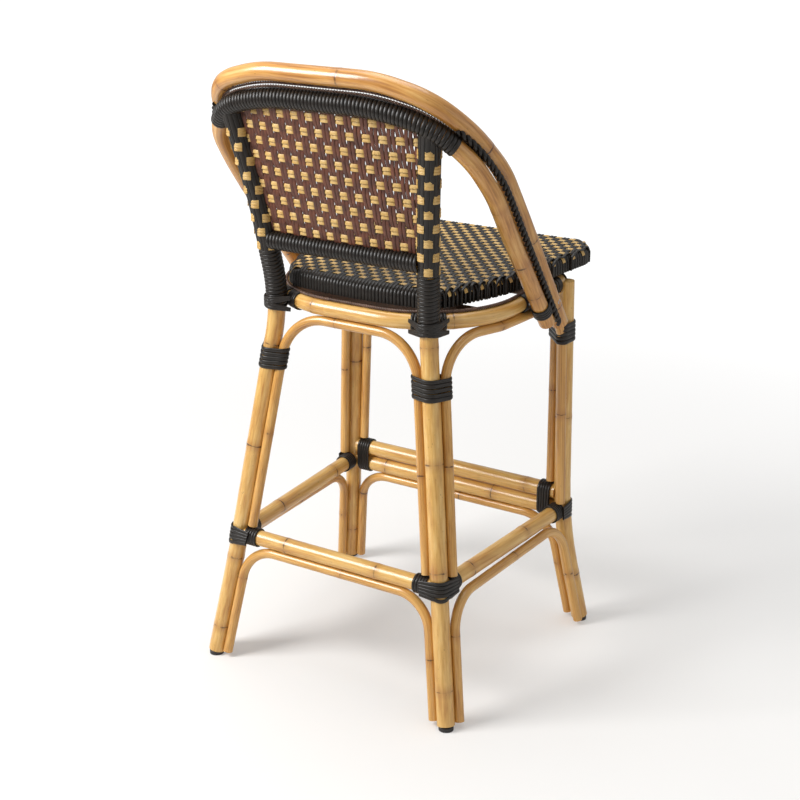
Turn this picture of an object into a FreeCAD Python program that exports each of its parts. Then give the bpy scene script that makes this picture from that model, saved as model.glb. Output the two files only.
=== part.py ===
"""Bar stool with footrest: bent rattan poles, bound joints, woven seat and back panel.

Frame: +Z up from the floor, the sitter faces -Y, the sitter's left is +X.
The origin lies on the floor, midway between the foremost and rearmost points.
"""
import FreeCAD, Part
import math
import os

V = FreeCAD.Vector
UP = V(0, 0, 1)

doc = FreeCAD.newDocument("bar_stool")

# ---------------------------------------------------------------- driving dimensions
SIZES = {
    # pole and cane radii
    "leg_radius": 16.0,
    "ring_radius": 14.0,
    "outer_hoop_radius": 15.5,
    "inner_hoop_radius": 14.8,
    "stretcher_radius": 14.5,
    "footrest_radius": 15.5,
    "liner_radius": 9.0,
    "crossbar_radius": 13.0,
    "frame_radius": 13.0,
    "slat_radius": 8.0,
    # bindings
    "binding": 3.6,
    "hoop_binding": 2.4,
    "post_binding": 4.0,
    "fit_gap": 0.3,
    # heights above the floor
    "glide_height": 8.0,
    "liner_foot": 10.0,
    "stretcher_height": 249.0,
    "footrest_low": 246.0,
    "footrest_high": 279.5,
    "ring_height": 700.0,
    "front_leg_top": 706.0,
    "crossbar_height": 815.0,
    "back_wrap_height": 577.0,
    "front_wrap_height": 593.0,
    "leg_wrap_length": 43.0,
    # woven seat
    "seat_top": 756.0,
    "seat_bottom": 720.8,
    "weave_thickness": 4.5,
    "panel_thickness": 5.0,
    "edge_cord_radius": 3.0,
    "arm_cord_radius": 5.0,
    "crown_cord_radius": 2.0,
    # fasteners
    "screw_radius": 2.25,
    "screw_head_radius": 4.5,
    "screw_head_height": 3.0,
    "glide_radius": 13.5,
    "nail_radius": 1.25,
    "nail_length": 26.0,
}

sizes = doc.addObject("Spreadsheet::Sheet", "sizes")
for row, (alias, value) in enumerate(SIZES.items(), start=1):
    sizes.set(f"A{row}", alias)
    sizes.set(f"B{row}", str(value))
    sizes.setAlias(f"B{row}", alias)
doc.recompute()


def size(alias):
    return float(sizes.get(alias))


NODES = {}


def node(label, piece):
    """Register a finished sub-part under the name of its file."""
    piece.Label = label
    NODES[label] = piece
    return piece


# ---------------------------------------------------------------- building functions
def rounded_route(points, radii, closed=False):
    """A wire of straight runs through the points, with a tangent arc at each bend."""
    count = len(points)
    bends = range(count) if closed else range(1, count - 1)
    arcs = {}
    for i, radius in zip(bends, radii):
        corner = points[i]
        back = (points[i - 1] - corner).normalize()
        ahead = (points[(i + 1) % count] - corner).normalize()
        turn = math.pi - back.getAngle(ahead)
        reach = radius * math.tan(turn / 2)
        inward = (back + ahead).normalize()
        middle = corner + inward * (radius / math.cos(turn / 2) - radius)
        arcs[i] = (corner + back * reach, middle, corner + ahead * reach)
    edges = []
    here = arcs[0][2] if closed else points[0]
    order = list(range(1, count)) + ([0] if closed else [])
    for i in order:
        if i in arcs:
            start, middle, end = arcs[i]
            edges.append(Part.LineSegment(here, start).toShape())
            edges.append(Part.Arc(start, middle, end).toShape())
            here = end
        else:
            edges.append(Part.LineSegment(here, points[i]).toShape())
            here = points[i]
    return Part.Wire(edges)


def add_route(name, wire):
    route = doc.addObject("Part::Feature", name + "_route")
    route.Shape = wire
    return route


def rod(name, route, radius):
    """A round rod swept along a route; radius is an expression on the sheet's cells."""
    first = route.Shape.OrderedEdges[0]
    direction = first.tangentAt(first.FirstParameter)
    circle = doc.addObject("Part::Circle", name + "_section")
    circle.setExpression("Radius", radius)
    turn = FreeCAD.Rotation(UP, direction)
    circle.Placement = FreeCAD.Placement(first.valueAt(first.FirstParameter), turn)
    sweep = doc.addObject("Part::Sweep", name)
    sweep.Sections = [circle]
    sweep.Spine = (route, [f"Edge{i + 1}" for i in range(len(route.Shape.Edges))])
    sweep.Solid = True
    sweep.Frenet = False
    return sweep


def straight_rod(name, start, end, radius):
    """A straight round rod between two points, as a cylinder."""
    cylinder = doc.addObject("Part::Cylinder", name)
    cylinder.setExpression("Radius", radius)
    cylinder.Height = (end - start).Length
    cylinder.Placement = FreeCAD.Placement(start, FreeCAD.Rotation(UP, end - start))
    return cylinder


def block(name, low, high):
    box = doc.addObject("Part::Box", name)
    box.Length = high.x - low.x
    box.Width = high.y - low.y
    box.Height = high.z - low.z
    box.Placement = FreeCAD.Placement(low, FreeCAD.Rotation())
    return box


def fuse(name, pieces):
    if len(pieces) == 1:
        return pieces[0]
    joined = doc.addObject("Part::MultiFuse", name)
    joined.Shapes = pieces
    return joined


def cut(name, base, tools):
    """The base with every tool taken away."""
    result = doc.addObject("Part::Cut", name)
    result.Base = base
    result.Tool = fuse(name + "_tools", tools)
    return result


def common(name, base, region):
    result = doc.addObject("Part::Common", name)
    result.Base = base
    result.Tool = region
    return result


def group(name, pieces):
    """Separate solids kept together in one node."""
    compound = doc.addObject("Part::Compound", name)
    compound.Links = pieces
    return compound


def belt_wire(circles, grow):
    """The outline of a band pulled tight round circles given as (x, y, radius)."""
    discs = [(V(x, y, 0), radius + grow) for x, y, radius in circles]
    if len(discs) == 3 and (discs[1][0] - discs[0][0]).cross(discs[2][0] - discs[0][0]).z < 0:
        discs = [discs[0], discs[2], discs[1]]
    count = len(discs)
    tangents = []
    for i in range(count):
        centre, radius = discs[i]
        next_centre, next_radius = discs[(i + 1) % count]
        along = next_centre - centre
        lean = math.asin((radius - next_radius) / along.Length)
        angle = math.atan2(along.y, along.x) - math.pi / 2 + lean
        outward = V(math.cos(angle), math.sin(angle), 0)
        tangents.append((centre + outward * radius, next_centre + outward * next_radius, angle))
    edges = []
    for i in range(count):
        start, end, angle = tangents[i]
        following, _, next_angle = tangents[(i + 1) % count]
        centre, radius = discs[(i + 1) % count]
        sweep = (next_angle - angle) % (2 * math.pi)
        halfway = angle + sweep / 2
        middle = centre + V(math.cos(halfway), math.sin(halfway), 0) * radius
        edges.append(Part.LineSegment(start, end).toShape())
        edges.append(Part.Arc(end, middle, following).toShape())
    return Part.Wire(edges)


def belt(name, circles, thickness, length, axis, placement):
    """A closed band of the given thickness round a bundle of rods, clear of each rod."""
    clear = 2 * size("fit_gap")
    outer = Part.Face(belt_wire(circles, thickness)).extrude(axis * length)
    inner = Part.Face(belt_wire(circles, clear)).extrude(axis * length)
    band = doc.addObject("Part::Feature", name)
    band.Shape = outer.cut(inner)
    band.Placement = placement
    return band


def collar(name, start, end, radius):
    """A band wound round a straight stretch of a rod."""
    outer = straight_rod(name + "_outside", start, end, f"{radius} + sizes.binding")
    inner = straight_rod(name + "_inside", start, end, f"{radius} + sizes.fit_gap")
    return cut(name, outer, [inner])


def screw(name, start, direction, length, clear=0.0):
    """A countersunk wood screw; with clear above 0, the hole that it is driven into."""
    direction = V(direction).normalize()
    turn = FreeCAD.Rotation(UP, direction)
    shank = doc.addObject("Part::Cylinder", name + "_shank")
    shank.setExpression("Radius", f"sizes.screw_radius + {clear}")
    shank.Height = length + clear
    shank.Placement = FreeCAD.Placement(start, turn)
    head = doc.addObject("Part::Cone", name + "_head")
    head.setExpression("Radius1", f"sizes.screw_head_radius + {clear}")
    head.setExpression("Radius2", f"sizes.screw_radius + {clear}")
    head.setExpression("Height", "sizes.screw_head_height")
    head.Placement = FreeCAD.Placement(start, turn)
    return fuse(name, [shank, head])


DRILL = 0.2
screws = {"stretcher_screws": [], "ring_screws": [], "arm_screws": [], "post_screws": []}
drills = {}


def drive(kind, hosts, start, direction, length):
    """Put a screw into its group, and its hole into each piece that it passes through."""
    number = len(screws[kind])
    screws[kind].append(screw(f"{kind}_{number}", start, direction, length))
    for host in hosts:
        hole = screw(f"{kind}_{number}_hole_{host}", start, direction, length, DRILL)
        drills.setdefault(host, []).append(hole)


SIDES = {"left": 1, "right": -1}
LEGS = [(end, side) for end in ("back", "front") for side in SIDES]

# ---------------------------------------------------------------- legs
# A back leg is one bent pole: it leans in from its foot to the seat ring, bends there
# and leans out and back as a post, up to the inner hoop. A front leg flares at its foot.
BACK_LEG = [V(257, 287, 0), V(222.5, 253.5, 215), V(155, 187, 700), V(172, 218, 885), V(197, 256, 1052)]
BACK_LEG_BENDS = [900, 350, 900]
FRONT_LEG = [V(277, -211, 0), V(244.5, -177, 215), V(234, -176.5, size("front_leg_top"))]
FRONT_LEG_BENDS = [900]


def mirror(points, side):
    return [V(p.x * SIDES[side], p.y, p.z) for p in points]


def leg_points(end, side):
    return mirror(BACK_LEG if end == "back" else FRONT_LEG, side)


def leg_at(end, side, height):
    """The centre of a leg's straight run at a height between its foot and the seat ring."""
    points = leg_points(end, side)
    low, high = (points[0], points[1]) if height < points[1].z else (points[1], points[2])
    return low + (high - low) * ((height - low.z) / (high.z - low.z))


def extended(end, side, height):
    """The centre of a leg's foot run, carried on up to a height above its bend."""
    foot, knee = leg_points(end, side)[:2]
    return foot + (knee - foot) * (height / knee.z)


leg_routes = {}
for end, side in LEGS:
    bends = BACK_LEG_BENDS if end == "back" else FRONT_LEG_BENDS
    wire = rounded_route(leg_points(end, side), bends)
    leg_routes[end, side] = add_route(f"{end}_leg_{side}", wire)

# ---------------------------------------------------------------- seat ring
# One pole bent into a closed D under the seat: round at the back, straight at the front.
RING_HALF = [V(227, 190, 0), V(219, -200, 0)]
RING_BACK_BEND = 174
RING_FRONT_BEND = 35
RING_ARC_CENTRE = V(RING_HALF[0].x - RING_BACK_BEND, RING_HALF[0].y - RING_BACK_BEND, 0)

lift = V(0, 0, size("ring_height"))
left_back, left_front = [p + lift for p in RING_HALF]
right_back, right_front = mirror([left_back, left_front], "right")
ring_points = [left_back, left_front, right_front, right_back]
ring_bends = [RING_BACK_BEND, RING_FRONT_BEND, RING_FRONT_BEND, RING_BACK_BEND]
ring_route = add_route("seat_ring", rounded_route(ring_points, ring_bends, closed=True))
ring_rod = rod("seat_ring_rod", ring_route, "sizes.ring_radius")
ring_sleeve = rod("seat_ring_sleeve", ring_route, "sizes.ring_radius + sizes.fit_gap")

# ---------------------------------------------------------------- back and arm hoops
# Each hoop is one pole: over the top of the back, round, and down past the ring's side.
OUTER_HOOP = [V(113.5, 284, 1120), V(203, 270, 1096.5), V(249.5, 219.5, 1045.5), V(263, 137, 970),
              V(259.5, 56.5, 871.5), V(261, -99.5, 650)]
OUTER_HOOP_BENDS = [240, 105, 190, 330, 1500]
INNER_HOOP = [V(112.5, 276.5, 1077), V(202, 262, 1053), V(252.5, 222.5, 1001), V(265, 165.5, 933.5),
              V(262, 99.5, 847), V(260, -50, 662.5)]
INNER_HOOP_BENDS = [370, 113, 140, 400, 1500]


def hoop_route(name, half, half_bends):
    points = [V(-p.x, p.y, p.z) for p in reversed(half)] + half
    bends = list(reversed(half_bends)) + half_bends
    return add_route(name, rounded_route(points, bends))


outer_route = hoop_route("hoop_outer", OUTER_HOOP, OUTER_HOOP_BENDS)
inner_route = hoop_route("hoop_inner", INNER_HOOP, INNER_HOOP_BENDS)
outer_rod = rod("hoop_outer_rod", outer_route, "sizes.outer_hoop_radius")
inner_rod = rod("hoop_inner_rod", inner_route, "sizes.inner_hoop_radius")
outer_sleeve = rod("hoop_outer_sleeve", outer_route, "sizes.outer_hoop_radius + sizes.fit_gap")
inner_sleeve = rod("hoop_inner_sleeve", inner_route, "sizes.inner_hoop_radius + sizes.fit_gap")
HOOP_WRAP_RADIUS = "sizes.inner_hoop_radius + sizes.hoop_binding"
wrap_rod = rod("hoop_wrap_rod", inner_route, HOOP_WRAP_RADIUS)
wrap_sleeve = rod("hoop_wrap_sleeve", inner_route, HOOP_WRAP_RADIUS + " + sizes.fit_gap")
doc.recompute()

# ---------------------------------------------------------------- screws
SCREW_SINK = 0.8
RAIL_SCREW = 60
BACK_RING_SCREW = 42
FRONT_RING_SCREW = 40
INNER_ARM_SCREW = 54
OUTER_ARM_SCREW = 56
POST_SCREW = 55
POST_SCREW_START = 13
# A rail that crosses the side stretcher's screw takes its own a little lower.
CROSS_SCREW_DROP = 9
for end, side in LEGS:
    leg = f"{end}_leg_{side}"
    inside = size("leg_radius") - SCREW_SINK
    other_side = "right" if side == "left" else "left"
    other_end = "front" if end == "back" else "back"
    height = size("stretcher_height")
    here = leg_at(end, side, height)
    along = (leg_at(other_end, side, height) - here).normalize()
    drive("stretcher_screws", [leg, f"{side}_stretcher"], here - along * inside, along, RAIL_SCREW)
    across = V(-SIDES[side], 0, 0)
    cross_rails = [("back_stretcher", height - CROSS_SCREW_DROP)]
    if end == "front":
        low_screw = size("footrest_low") - CROSS_SCREW_DROP
        cross_rails = [("footrest_lower", low_screw), ("footrest_upper", size("footrest_high"))]
    for cross_rail, rail_height in cross_rails:
        centre = leg_at(end, side, rail_height)
        drive("stretcher_screws", [leg, cross_rail], centre - across * inside, across, RAIL_SCREW)

# Where the middle of a post passes the seat ring.
POST_AT_RING = V(158.5, 191.5, 0)
for side, sign in SIDES.items():
    ring_z = size("ring_height")
    post = V(POST_AT_RING.x * sign, POST_AT_RING.y, ring_z)
    towards = V(RING_ARC_CENTRE.x * sign, RING_ARC_CENTRE.y, post.z) - post
    towards = towards.normalize()
    hosts = [f"back_leg_{side}", "seat_ring", f"post_wrap_{side}"]
    drive("ring_screws", hosts, post - towards * inside, towards, BACK_RING_SCREW)
    bend_x = (RING_HALF[1].x - RING_FRONT_BEND) * sign
    bend_y = RING_HALF[1].y + RING_FRONT_BEND
    front = leg_at("front", side, ring_z - 5)
    towards = (V(bend_x, bend_y, ring_z - 5) - front).normalize()
    hosts = [f"front_leg_{side}", "seat_ring"]
    drive("ring_screws", hosts, front - towards * inside, towards, FRONT_RING_SCREW)
    inward = V(-sign, 0, 0)
    inner_arm = V(273.6 * sign, -18.5, ring_z)
    outer_arm = V(276 * sign, -64, ring_z)
    hosts = ["hoop_inner", "seat_ring", f"arm_lash_{side}"]
    drive("arm_screws", hosts, inner_arm, inward, INNER_ARM_SCREW)
    drive("arm_screws", ["hoop_outer", "seat_ring"], outer_arm, inward, OUTER_ARM_SCREW)
    bend, top = leg_points("back", side)[3:]
    axis = (bend - top).normalize()
    hosts = [f"back_leg_{side}", "hoop_inner", "hoop_wrap"]
    drive("post_screws", hosts, top - axis * POST_SCREW_START, axis, POST_SCREW)

for kind, members in screws.items():
    node(kind, group(kind, members))

# ---------------------------------------------------------------- legs, cut to fit
NAIL_CLEAR = 0.15
NAIL_START = 3
GLIDE_CHAMFER = 1.2
# The blocks that trim rods to the floor reach this far below it.
GROUND_DEPTH = 20
nails = []
leg_sleeves = {}
for end, side in LEGS:
    name = f"{end}_leg_{side}"
    route = leg_routes[end, side]
    pole = rod(name + "_rod", route, "sizes.leg_radius")
    leg_sleeves[end, side] = rod(name + "_sleeve", route, "sizes.leg_radius + sizes.fit_gap")
    foot = leg_at(end, side, 4)
    spot = V(foot.x, foot.y, 0)
    nail_low = spot + UP * NAIL_START
    nail_high = nail_low + UP * size("nail_length")
    nails.append(straight_rod(f"{name}_nail", nail_low, nail_high, "sizes.nail_radius"))
    nail_hole = straight_rod(f"{name}_nail_hole", nail_low, nail_high + UP * NAIL_CLEAR,
                             f"sizes.nail_radius + {NAIL_CLEAR}")
    ground = block(f"{name}_ground", spot - V(40, 40, GROUND_DEPTH), spot + V(40, 40, 0))
    ground.setExpression("Height", f"{GROUND_DEPTH} + sizes.glide_height")
    tools = [ground, nail_hole] + drills[name]
    tools += [inner_sleeve, outer_sleeve] if end == "back" else [ring_sleeve]
    node(name, cut(name, pole, tools))
    disc = straight_rod(f"{name}_glide_disc", spot, spot + UP, "sizes.glide_radius")
    disc.setExpression("Height", "sizes.glide_height")
    rim = doc.addObject("Part::Chamfer", f"{name}_glide_rim")
    rim.Base = disc
    rim.Edges = [(1, GLIDE_CHAMFER, GLIDE_CHAMFER), (3, GLIDE_CHAMFER, GLIDE_CHAMFER)]
    glide_hole = straight_rod(f"{name}_glide_hole", nail_low, nail_high,
                              f"sizes.nail_radius + {NAIL_CLEAR}")
    node(f"foot_glide_{end}_{side}", cut(f"{name}_glide", rim, [glide_hole]))
node("glide_nails", group("glide_nails", nails))

node("seat_ring", cut("seat_ring", ring_rod, drills["seat_ring"]))
node("hoop_outer", cut("hoop_outer", outer_rod, drills["hoop_outer"]))
node("hoop_inner", cut("hoop_inner", inner_rod, drills["hoop_inner"]))

# ---------------------------------------------------------------- stretchers and footrest
# Straight rails between the legs, each end coped to the round of its leg.
rails = {}
rail_bars = {}
rail_sleeves = {}


def rail(name, first, second, height, radius, clear_of=()):
    start = leg_at(*first, height)
    end = leg_at(*second, height)
    bar = straight_rod(name + "_bar", start, end, radius)
    rails[name] = (start, end)
    around = f"{radius} + sizes.binding + sizes.fit_gap"
    rail_sleeves[name] = straight_rod(name + "_sleeve", start, end, around)
    rail_bars[name] = straight_rod(name + "_clearance", start, end, f"{radius} + sizes.fit_gap")
    tools = [leg_sleeves[first], leg_sleeves[second]] + drills[name]
    tools += [rail_bars[other] for other in clear_of]
    node(name, cut(name, bar, tools))


height = size("stretcher_height")
for side in SIDES:
    rail(f"{side}_stretcher", ("back", side), ("front", side), height, "sizes.stretcher_radius")
low, high = size("footrest_low"), size("footrest_high")
side_rails = [f"{side}_stretcher" for side in SIDES]
CROSS_RAILS = [
    ("back_stretcher", "back", height, "sizes.stretcher_radius"),
    ("footrest_lower", "front", low, "sizes.footrest_radius"),
    ("footrest_upper", "front", high, "sizes.footrest_radius"),
]
for name, end, level, radius in CROSS_RAILS:
    rail(name, (end, "left"), (end, "right"), level, radius, side_rails)

# ---------------------------------------------------------------- bent cane arches
# An upper arch lines two neighbouring legs and curves across just under the seat ring.
# A lower arch does the same from the feet to just under the stretchers.
BESIDE = size("leg_radius") + size("liner_radius") + size("fit_gap")
ARCH_SIDES = {
    "back": (("back", "left"), ("back", "right")),
    "left": (("back", "left"), ("front", "left")),
    "right": (("back", "right"), ("front", "right")),
    "front": (("front", "left"), ("front", "right")),
}
UPPER_ARCH_TOP = size("ring_height") - size("ring_radius") - size("liner_radius") - 1.25
UPPER_ARCH_FOOT = height + size("stretcher_radius") + size("binding") + 1.6
LOWER_ARCH_TOP = height - size("stretcher_radius") - size("liner_radius") - 0.4
UPPER_BEND = 88
LOWER_BEND = 70


def beside(here, there, turn=0):
    """A point on a liner that touches the leg centred here, on the side towards there.

    With turn, the liner sits that many degrees round the leg, towards the stool's outside.
    """
    towards = V(there.x - here.x, there.y - here.y, 0).normalize()
    outward = V(math.copysign(1, here.x), 0, 0)
    angle = math.radians(turn)
    return here + (towards * math.cos(angle) + outward * math.sin(angle)).normalize() * BESIDE


# The side arches are set round towards the outside, where they meet the wider seat ring.
SIDE_TURN = {"back": 38, "front": 22}
FRONT_ARCH_Y = -188
SIDE_ARCH_MIDDLE = V(222, 50, UPPER_ARCH_TOP)
arch_routes = {}
arch_sleeves = {}
for place, (first, second) in ARCH_SIDES.items():
    foot = UPPER_ARCH_FOOT
    if place == "front":
        foot = high + size("footrest_radius") + size("binding") + 1.6
    points = []
    for this, other in ((first, second), (second, first)):
        turn = SIDE_TURN[this[0]] if place in SIDES else 0
        ankle = beside(leg_at(*this, foot), leg_at(*other, foot), turn)
        shoulder = beside(leg_at(*this, UPPER_ARCH_TOP), leg_at(*other, UPPER_ARCH_TOP), turn)
        points.append([ankle, shoulder])
    points = points[0] + points[1][::-1]
    bends = [UPPER_BEND, UPPER_BEND]
    if place == "front":
        points[1].y = points[2].y = FRONT_ARCH_Y
    if place in SIDES:
        points.insert(2, mirror([SIDE_ARCH_MIDDLE], place)[0])
        bends = [UPPER_BEND, UPPER_BEND, UPPER_BEND]
    route = add_route(f"upper_arch_{place}", rounded_route(points, bends))
    arch_routes[place] = points
    arch_sleeves[place] = rod(f"upper_arch_{place}_sleeve", route,
                              "sizes.liner_radius + sizes.fit_gap")
    node(f"upper_arch_{place}", rod(f"upper_arch_{place}", route, "sizes.liner_radius"))

    top = LOWER_ARCH_TOP
    if place == "front":
        top = low - size("footrest_radius") - size("liner_radius") - 0.4
    points = []
    for this, other in ((first, second), (second, first)):
        turn = SIDE_TURN[this[0]] if place in SIDES else 0
        toe = beside(extended(*this, 0), extended(*other, 0), turn)
        corner = beside(extended(*this, top), extended(*other, top), turn)
        points.append([toe, corner])
    points = points[0] + points[1][::-1]
    route = add_route(f"lower_arch_{place}", rounded_route(points, [LOWER_BEND, LOWER_BEND]))
    cane = rod(f"lower_arch_{place}_cane", route, "sizes.liner_radius")
    ground = block(f"lower_arch_{place}_ground", V(-350, -350, -GROUND_DEPTH), V(350, 350, 0))
    ground.setExpression("Height", f"{GROUND_DEPTH} + sizes.liner_foot")
    tools = [ground, leg_sleeves[first], leg_sleeves[second]]
    node(f"lower_arch_{place}", cut(f"lower_arch_{place}", cane, tools))

# ---------------------------------------------------------------- leg wraps
# A flat band of turns that pulls the two liners tight against each leg under the seat.
for end, side in LEGS:
    base = size(f"{end}_wrap_height")
    centre = leg_at(end, side, base)
    above = leg_at(end, side, base + size("leg_wrap_length"))
    circles = [(0, 0, size("leg_radius"))]
    liners = []
    for place, pair in ARCH_SIDES.items():
        if (end, side) in pair:
            liners.append(arch_sleeves[place])
            line = arch_routes[place] if pair[0] == (end, side) else arch_routes[place][::-1]
            ankle, shoulder = line[:2]
            spot = ankle + (shoulder - ankle) * ((base - ankle.z) / (shoulder.z - ankle.z))
            circles.append((spot.x - centre.x, spot.y - centre.y, size("liner_radius")))
    axis = (above - centre).normalize()
    placement = FreeCAD.Placement(centre, FreeCAD.Rotation())
    name = f"leg_wrap_{end}_{side}"
    band = belt(name + "_band", circles, size("binding"), (above - centre).Length, axis, placement)
    node(name, cut(name, band, liners))

# ---------------------------------------------------------------- joint wraps
# Where the rails meet a leg: turns round each rail's end and round the leg itself.
RAIL_WRAP = 26
TURNS_BELOW = 17
TURNS_ABOVE = 13
CORNER_NEAR = 6
CORNER_FAR = 36
for end, side in LEGS:
    name = f"joint_wrap_{end}_{side}"
    touching = [f"{side}_stretcher"]
    touching += ["back_stretcher"] if end == "back" else ["footrest_lower", "footrest_upper"]
    centre = leg_at(end, side, height)
    low_end = leg_at(end, side, height - TURNS_BELOW)
    high_end = leg_at(end, side, height + TURNS_ABOVE)
    around_leg = straight_rod(name + "_turns", low_end, high_end, "sizes.leg_radius + sizes.binding")
    bored = cut(name + "_bored", around_leg, [leg_sleeves[end, side]])
    # The turns stay on the outside of the joint, so the corner between the rails is left open.
    to_back = 1 if end == "back" else -1
    near = centre - V(SIDES[side], to_back, 0) * CORNER_NEAR
    far = centre - V(SIDES[side], to_back, 0) * CORNER_FAR
    corner = block(name + "_corner", V(min(near.x, far.x), min(near.y, far.y), height - 40),
                   V(max(near.x, far.x), max(near.y, far.y), height + 40))
    pieces = [cut(name + "_leg_cut", bored, [corner] + [rail_sleeves[t] for t in touching])]
    away = size("leg_radius") + size("binding") + 0.5
    singles = [t for t in touching if t.endswith("stretcher")]
    for rail_name in singles:
        start, finish = rails[rail_name]
        this = leg_at(end, side, height)
        start, finish = (start, finish) if (start - this).Length < 1 else (finish, start)
        along = (finish - start).normalize()
        pieces.append(collar(f"{name}_{rail_name}", start + along * away,
                             start + along * (away + RAIL_WRAP), "sizes.stretcher_radius"))
    if end == "front":
        middle = leg_at(end, side, (low + high) / 2)
        across = V(-SIDES[side], 0, 0)
        half = (high - low) / 2
        circles = [(half, 0, size("footrest_radius")), (-half, 0, size("footrest_radius"))]
        turn = FreeCAD.Rotation(V(0, 1, 0), 90 * (1 if across.x > 0 else -1))
        place = FreeCAD.Placement(middle + across * away, turn)
        pieces.append(belt(f"{name}_footrest", circles, size("binding"), RAIL_WRAP, UP, place))
    node(name, group(name, pieces))

# ---------------------------------------------------------------- back crossbar and its wrap
CROSSBAR_HALF = 166
CROSSBAR_BACK = 212
bar_start = V(-CROSSBAR_HALF, CROSSBAR_BACK, size("crossbar_height"))
bar_end = V(CROSSBAR_HALF, CROSSBAR_BACK, size("crossbar_height"))
posts = [leg_sleeves["back", "left"], leg_sleeves["back", "right"]]
bar = straight_rod("back_crossbar_bar", bar_start, bar_end, "sizes.crossbar_radius")
node("back_crossbar", cut("back_crossbar", bar, posts))
POST_WRAP_RADIUS = "sizes.leg_radius + sizes.post_binding"
post_wraps = {}
post_wrap_sleeves = []
for side in SIDES:
    route = leg_routes["back", side]
    post_wraps[side] = rod(f"post_wrap_{side}_rod", route, POST_WRAP_RADIUS)
    around = POST_WRAP_RADIUS + " + sizes.fit_gap"
    post_wrap_sleeves.append(rod(f"post_wrap_{side}_sleeve", route, around))
BAR_WRAP_RADIUS = "sizes.crossbar_radius + sizes.binding"
bar_outside = straight_rod("crossbar_wrap_outside", bar_start, bar_end, BAR_WRAP_RADIUS)
bar_inside = straight_rod("crossbar_wrap_inside", bar_start, bar_end,
                          "sizes.crossbar_radius + sizes.fit_gap")
bar_sleeve = straight_rod("crossbar_wrap_sleeve", bar_start, bar_end,
                          BAR_WRAP_RADIUS + " + sizes.fit_gap")
node("crossbar_wrap", cut("crossbar_wrap", bar_outside, [bar_inside] + post_wrap_sleeves))

# ---------------------------------------------------------------- hoop wrap, post wraps, hoop cord
HOOP_WRAP_FROM = 1018
wrapped = block("hoop_wrap_region", V(-300, 100, HOOP_WRAP_FROM), V(300, 320, 1200))
hoop_sheath = common("hoop_sheath", wrap_rod, wrapped)
node("hoop_wrap", cut("hoop_wrap", hoop_sheath, [inner_sleeve] + posts + drills["hoop_wrap"]))
POST_WRAP_FROM = 682
for side in SIDES:
    sign = SIDES[side]
    below = block(f"post_wrap_{side}_below", V(sign * 220 - 130, 100, -30),
                  V(sign * 220 + 130, 340, POST_WRAP_FROM))
    tools = [leg_sleeves["back", side], below, ring_sleeve, bar_sleeve, wrap_sleeve, outer_sleeve]
    tools += drills[f"post_wrap_{side}"]
    node(f"post_wrap_{side}", cut(f"post_wrap_{side}", post_wraps[side], tools))

# A twisted cord lies in the groove between the hoops: thick along each arm, thin over the top.
GROOVE = 10.5
CROWN_HALF = 180
mid_points = [(a + b) * 0.5 for a, b in zip(OUTER_HOOP, INNER_HOOP)]
mid_bends = [(a + b) / 2 for a, b in zip(OUTER_HOOP_BENDS, INNER_HOOP_BENDS)]
crown_route = hoop_route("hoop_cord_crown", mid_points, mid_bends)
thin_cord = rod("hoop_cord_thin", crown_route, "sizes.crown_cord_radius")
crown = block("hoop_cord_crown_region", V(-CROWN_HALF, 100, 1000), V(CROWN_HALF, 320, 1200))
crown_run = common("hoop_cord_top_run", thin_cord, crown)
cords = [cut("hoop_cord_top", crown_run, [outer_sleeve, wrap_sleeve])]
cord_sleeves = {}
for side in SIDES:
    line = [V(p.x + GROOVE, p.y, p.z) for p in mid_points[2:]]
    route = add_route(f"hoop_cord_{side}", rounded_route(mirror(line, side), mid_bends[3:]))
    fat_cord = rod(f"hoop_cord_{side}_rod", route, "sizes.arm_cord_radius")
    cord_sleeves[side] = rod(f"hoop_cord_{side}_sleeve", route,
                             "sizes.arm_cord_radius + sizes.fit_gap")
    cords.append(cut(f"hoop_cord_{side}", fat_cord, [outer_sleeve, inner_sleeve]))
node("hoop_cord", group("hoop_cord", cords))

# ---------------------------------------------------------------- woven back panel
# Strands stretched from the crossbar up to the inner hoop, bowed back in the middle.
PANEL_SECTIONS = [  # height, half width, y at the posts, y in the middle
    (829, 163, 208, 215),
    (948, 178, 232, 249),
    (1070, 188, 259, 279),
]
wires = []
for z, half, y_side, y_middle in PANEL_SECTIONS:
    thick = size("panel_thickness") / 2
    front = Part.Arc(V(-half, y_side - thick, z), V(0, y_middle - thick, z), V(half, y_side - thick, z))
    back = Part.Arc(V(half, y_side + thick, z), V(0, y_middle + thick, z), V(-half, y_side + thick, z))
    edges = [front.toShape(), Part.LineSegment(front.EndPoint, back.StartPoint).toShape(),
             back.toShape(), Part.LineSegment(back.EndPoint, front.StartPoint).toShape()]
    wires.append(Part.Wire(edges))
slab = doc.addObject("Part::Feature", "back_weave_slab")
slab.Shape = Part.makeLoft(wires, True, False)
panel_tools = [bar_sleeve, wrap_sleeve, outer_sleeve] + post_wrap_sleeves
node("back_weave", cut("back_weave", slab, panel_tools))

# ---------------------------------------------------------------- woven seat
# A skin of strands over a bent pole frame; open underneath, where slats keep it from sagging.
SEAT_OUTLINE = [V(156, 166, 0), V(216, 10, 0), V(250, -302, 0)]
SEAT_BENDS = [60, 400, 62]
SEAT_BACK = V(0, 188, 0)
SEAT_BACK_BEND = 800

right_half = mirror(SEAT_OUTLINE, "right")
seat_points = [SEAT_BACK] + SEAT_OUTLINE + right_half[::-1]
seat_bends = [SEAT_BACK_BEND] + SEAT_BENDS + SEAT_BENDS[::-1]
seat_wire = rounded_route(seat_points, seat_bends, closed=True)


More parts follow.
